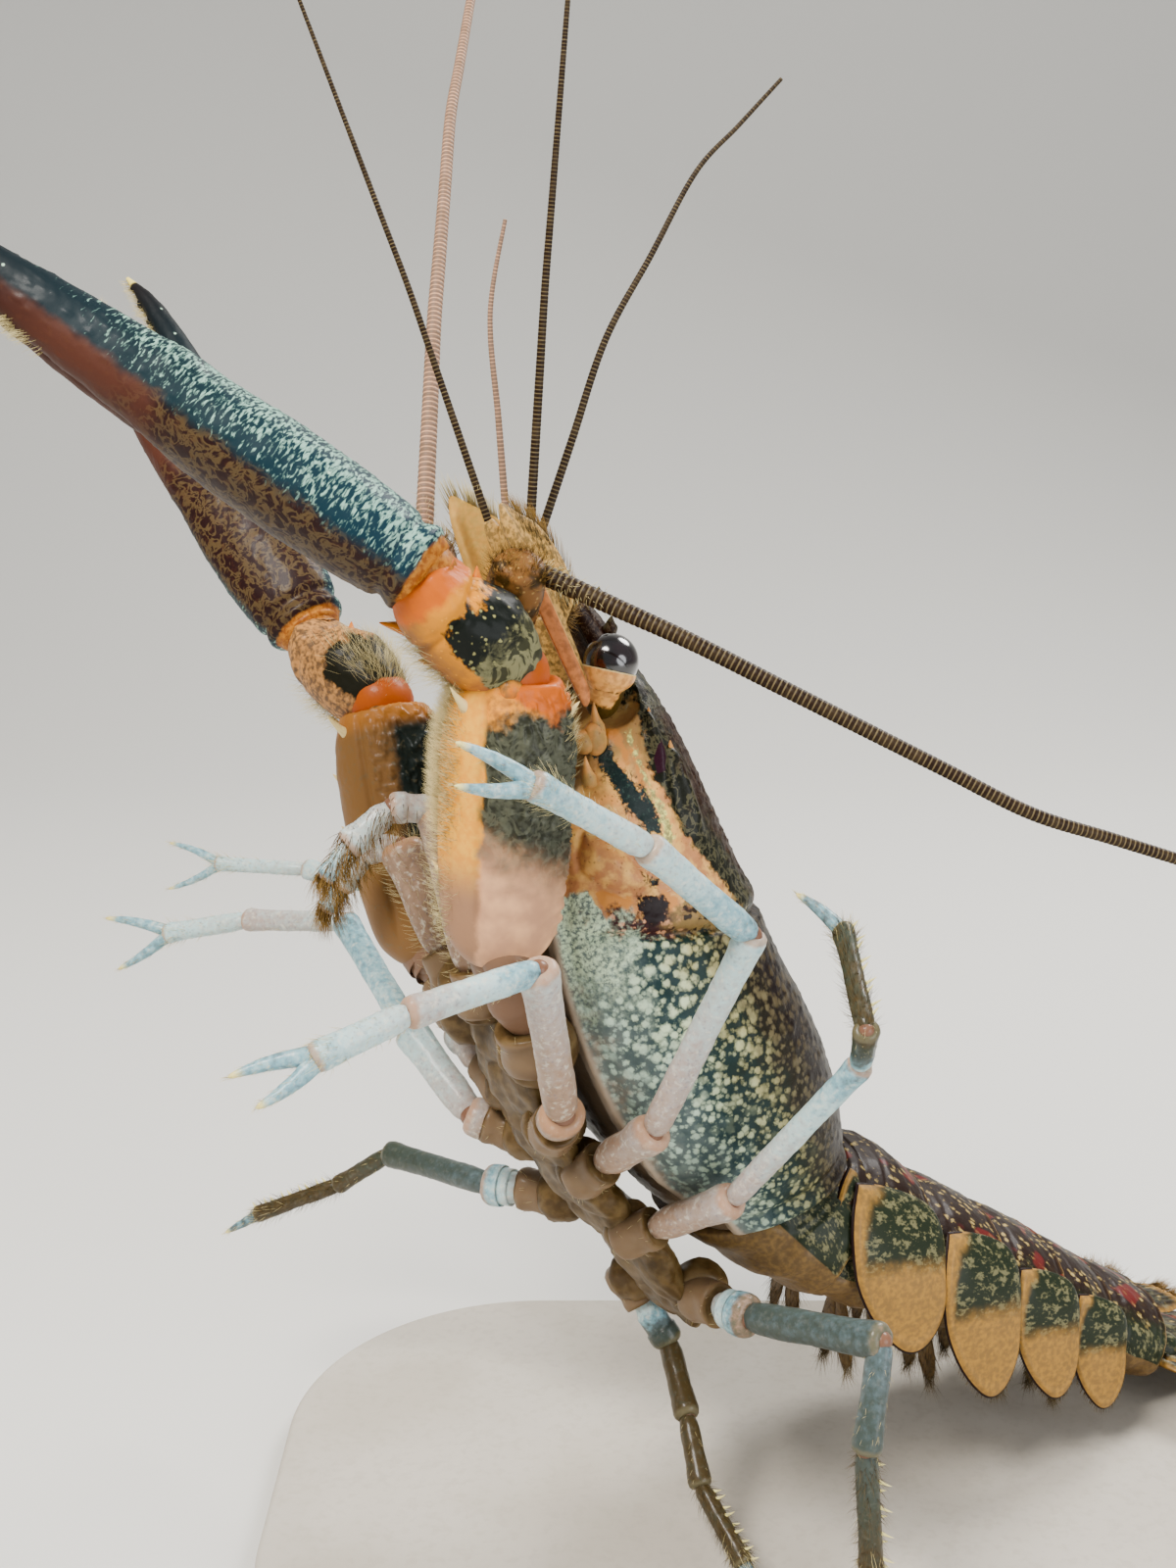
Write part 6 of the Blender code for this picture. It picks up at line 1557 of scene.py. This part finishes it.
def main():
    mats = {
        "carapace": surface("chitin_carapace", carapace_paint, 0.42, 0.06, 0.05),
        "leg": surface("chitin_leg", leg_paint, 0.4, 0.04, 0.2, through=0.12),
        "arm": surface("chitin_arm", arm_paint, 0.48, 0.06, 0.08),
        "wrist": surface("chitin_wrist", wrist_paint, 0.52, 0.05, 0.04),
        "hand": surface("chitin_hand", hand_paint, 0.55, 0.03, 0.04),
        "tail": surface("chitin_tail", tail_paint, 0.5, 0.05, 0.06),
        "skin": surface("soft_skin", skin_paint, 0.45, 0.08, 0.1, through=0.2),
        "stalk": surface("eye_stalk_skin", stalk_paint, 0.4, 0.03, 0.2, through=0.15),
        "eye": surface("eye_gloss", eye_paint, 0.12, coat=1.0, shine=0.5),
        "feeler": surface("feeler_chitin", ring_paint, 0.5, 0.02),
        "scale": surface("feeler_scale_chitin", scale_paint, 0.45, 0.04, through=0.1),
        "plate": surface("matte_painted_plate", plate_paint, 0.62, 0.04),
    }
    coats = {name: Coat() for name in ("white", "golden", "brown")}
    build_base(mats)
    build_carapace(mats)
    build_under_body(mats, coats)
    build_legs(mats, coats)
    build_claws(mats, coats)
    build_mouth_legs(mats, coats)
    build_eyes(mats)
    build_feelers(mats, coats)
    build_tail(mats, coats)
    colours = {"white": ("#B0A06B", "#E2D29B"), "golden": ("#493310", "#8D6C34"), "brown": ("#382B14", "#635436")}
    for name, coat in coats.items():
        coat.mesh(f"bristles_{name}", surface(f"bristle_{name}", hair_paint(*colours[name]), 0.55))
    stage()


def stage():
    """Pale floor, soft studio light and the photograph's camera."""
    floor_mat = surface("pale_floor", lambda tree, place, tone: mix(
        tree, step(tree, add(tree, "TexNoise", place, Scale=0.02, Detail=2.0), 0.3, 0.7), "#D9D8D3", "#DEDDD9"), 0.7)
    profile = [(-3.0, 0.0), (0.35, 0.0)]
    profile += [(0.35 + 0.5 * math.sin(a), 0.5 - 0.5 * math.cos(a)) for a in np.linspace(0.05, math.pi / 2, 24)]
    profile.append((0.85, 4.0))
    points = [(x, y, z - 0.0001) for y, z in profile for x in (-4.0, 4.0)]
    mesh = bpy.data.meshes.new("floor")
    mesh.from_pydata(points, [], [(2 * i, 2 * i + 1, 2 * i + 3, 2 * i + 2) for i in range(len(profile) - 1)])
    mesh.polygons.foreach_set("use_smooth", [True] * len(mesh.polygons))
    floor = bpy.data.objects.new("floor", mesh)
    bpy.context.scene.collection.objects.link(floor)
    floor.data.materials.append(floor_mat)
    for name, place, aim, size, power, colour in (
            ("key", (-240, -240, 520), (-20, 0, 110), 220, 6.4, (1.0, 0.95, 0.88)),
            ("fill", (380, -420, 200), (0, 0, 90), 420, 3.0, (0.95, 0.97, 1.0)),
            ("rim", (220, 260, 420), (0, 0, 100), 220, 3.2, (1.0, 0.98, 0.95))):
        light = bpy.data.lights.new(name, "AREA")
        light.shape = "DISK"
        light.size = size * MM
        light.energy = power
        light.color = colour
        lamp = bpy.data.objects.new(name, light)
        bpy.context.scene.collection.objects.link(lamp)
        lamp.location = [v * MM for v in place]
        way = Vector(aim) - Vector(place)
        lamp.rotation_euler = way.to_track_quat("-Z", "Y").to_euler()
    world = bpy.data.worlds.new("studio")
    bpy.context.scene.world = world
    world.use_nodes = True
    sky = world.node_tree.nodes["Background"]
    sky.inputs[0].default_value = (0.86, 0.88, 0.9, 1)
    sky.inputs[1].default_value = 0.4
    camera = bpy.data.cameras.new("photo_view")
    camera.lens = CAMERA_LENS
    camera.sensor_width = CAMERA_FILM
    camera.clip_start = 0.01
    eye = bpy.data.objects.new("photo_view", camera)
    bpy.context.scene.collection.objects.link(eye)
    eye.location = [v * MM for v in CAMERA_AT]
    eye.rotation_euler = (math.radians(90 - CAMERA_DOWN), 0, 0)
    bpy.context.scene.camera = eye


main()
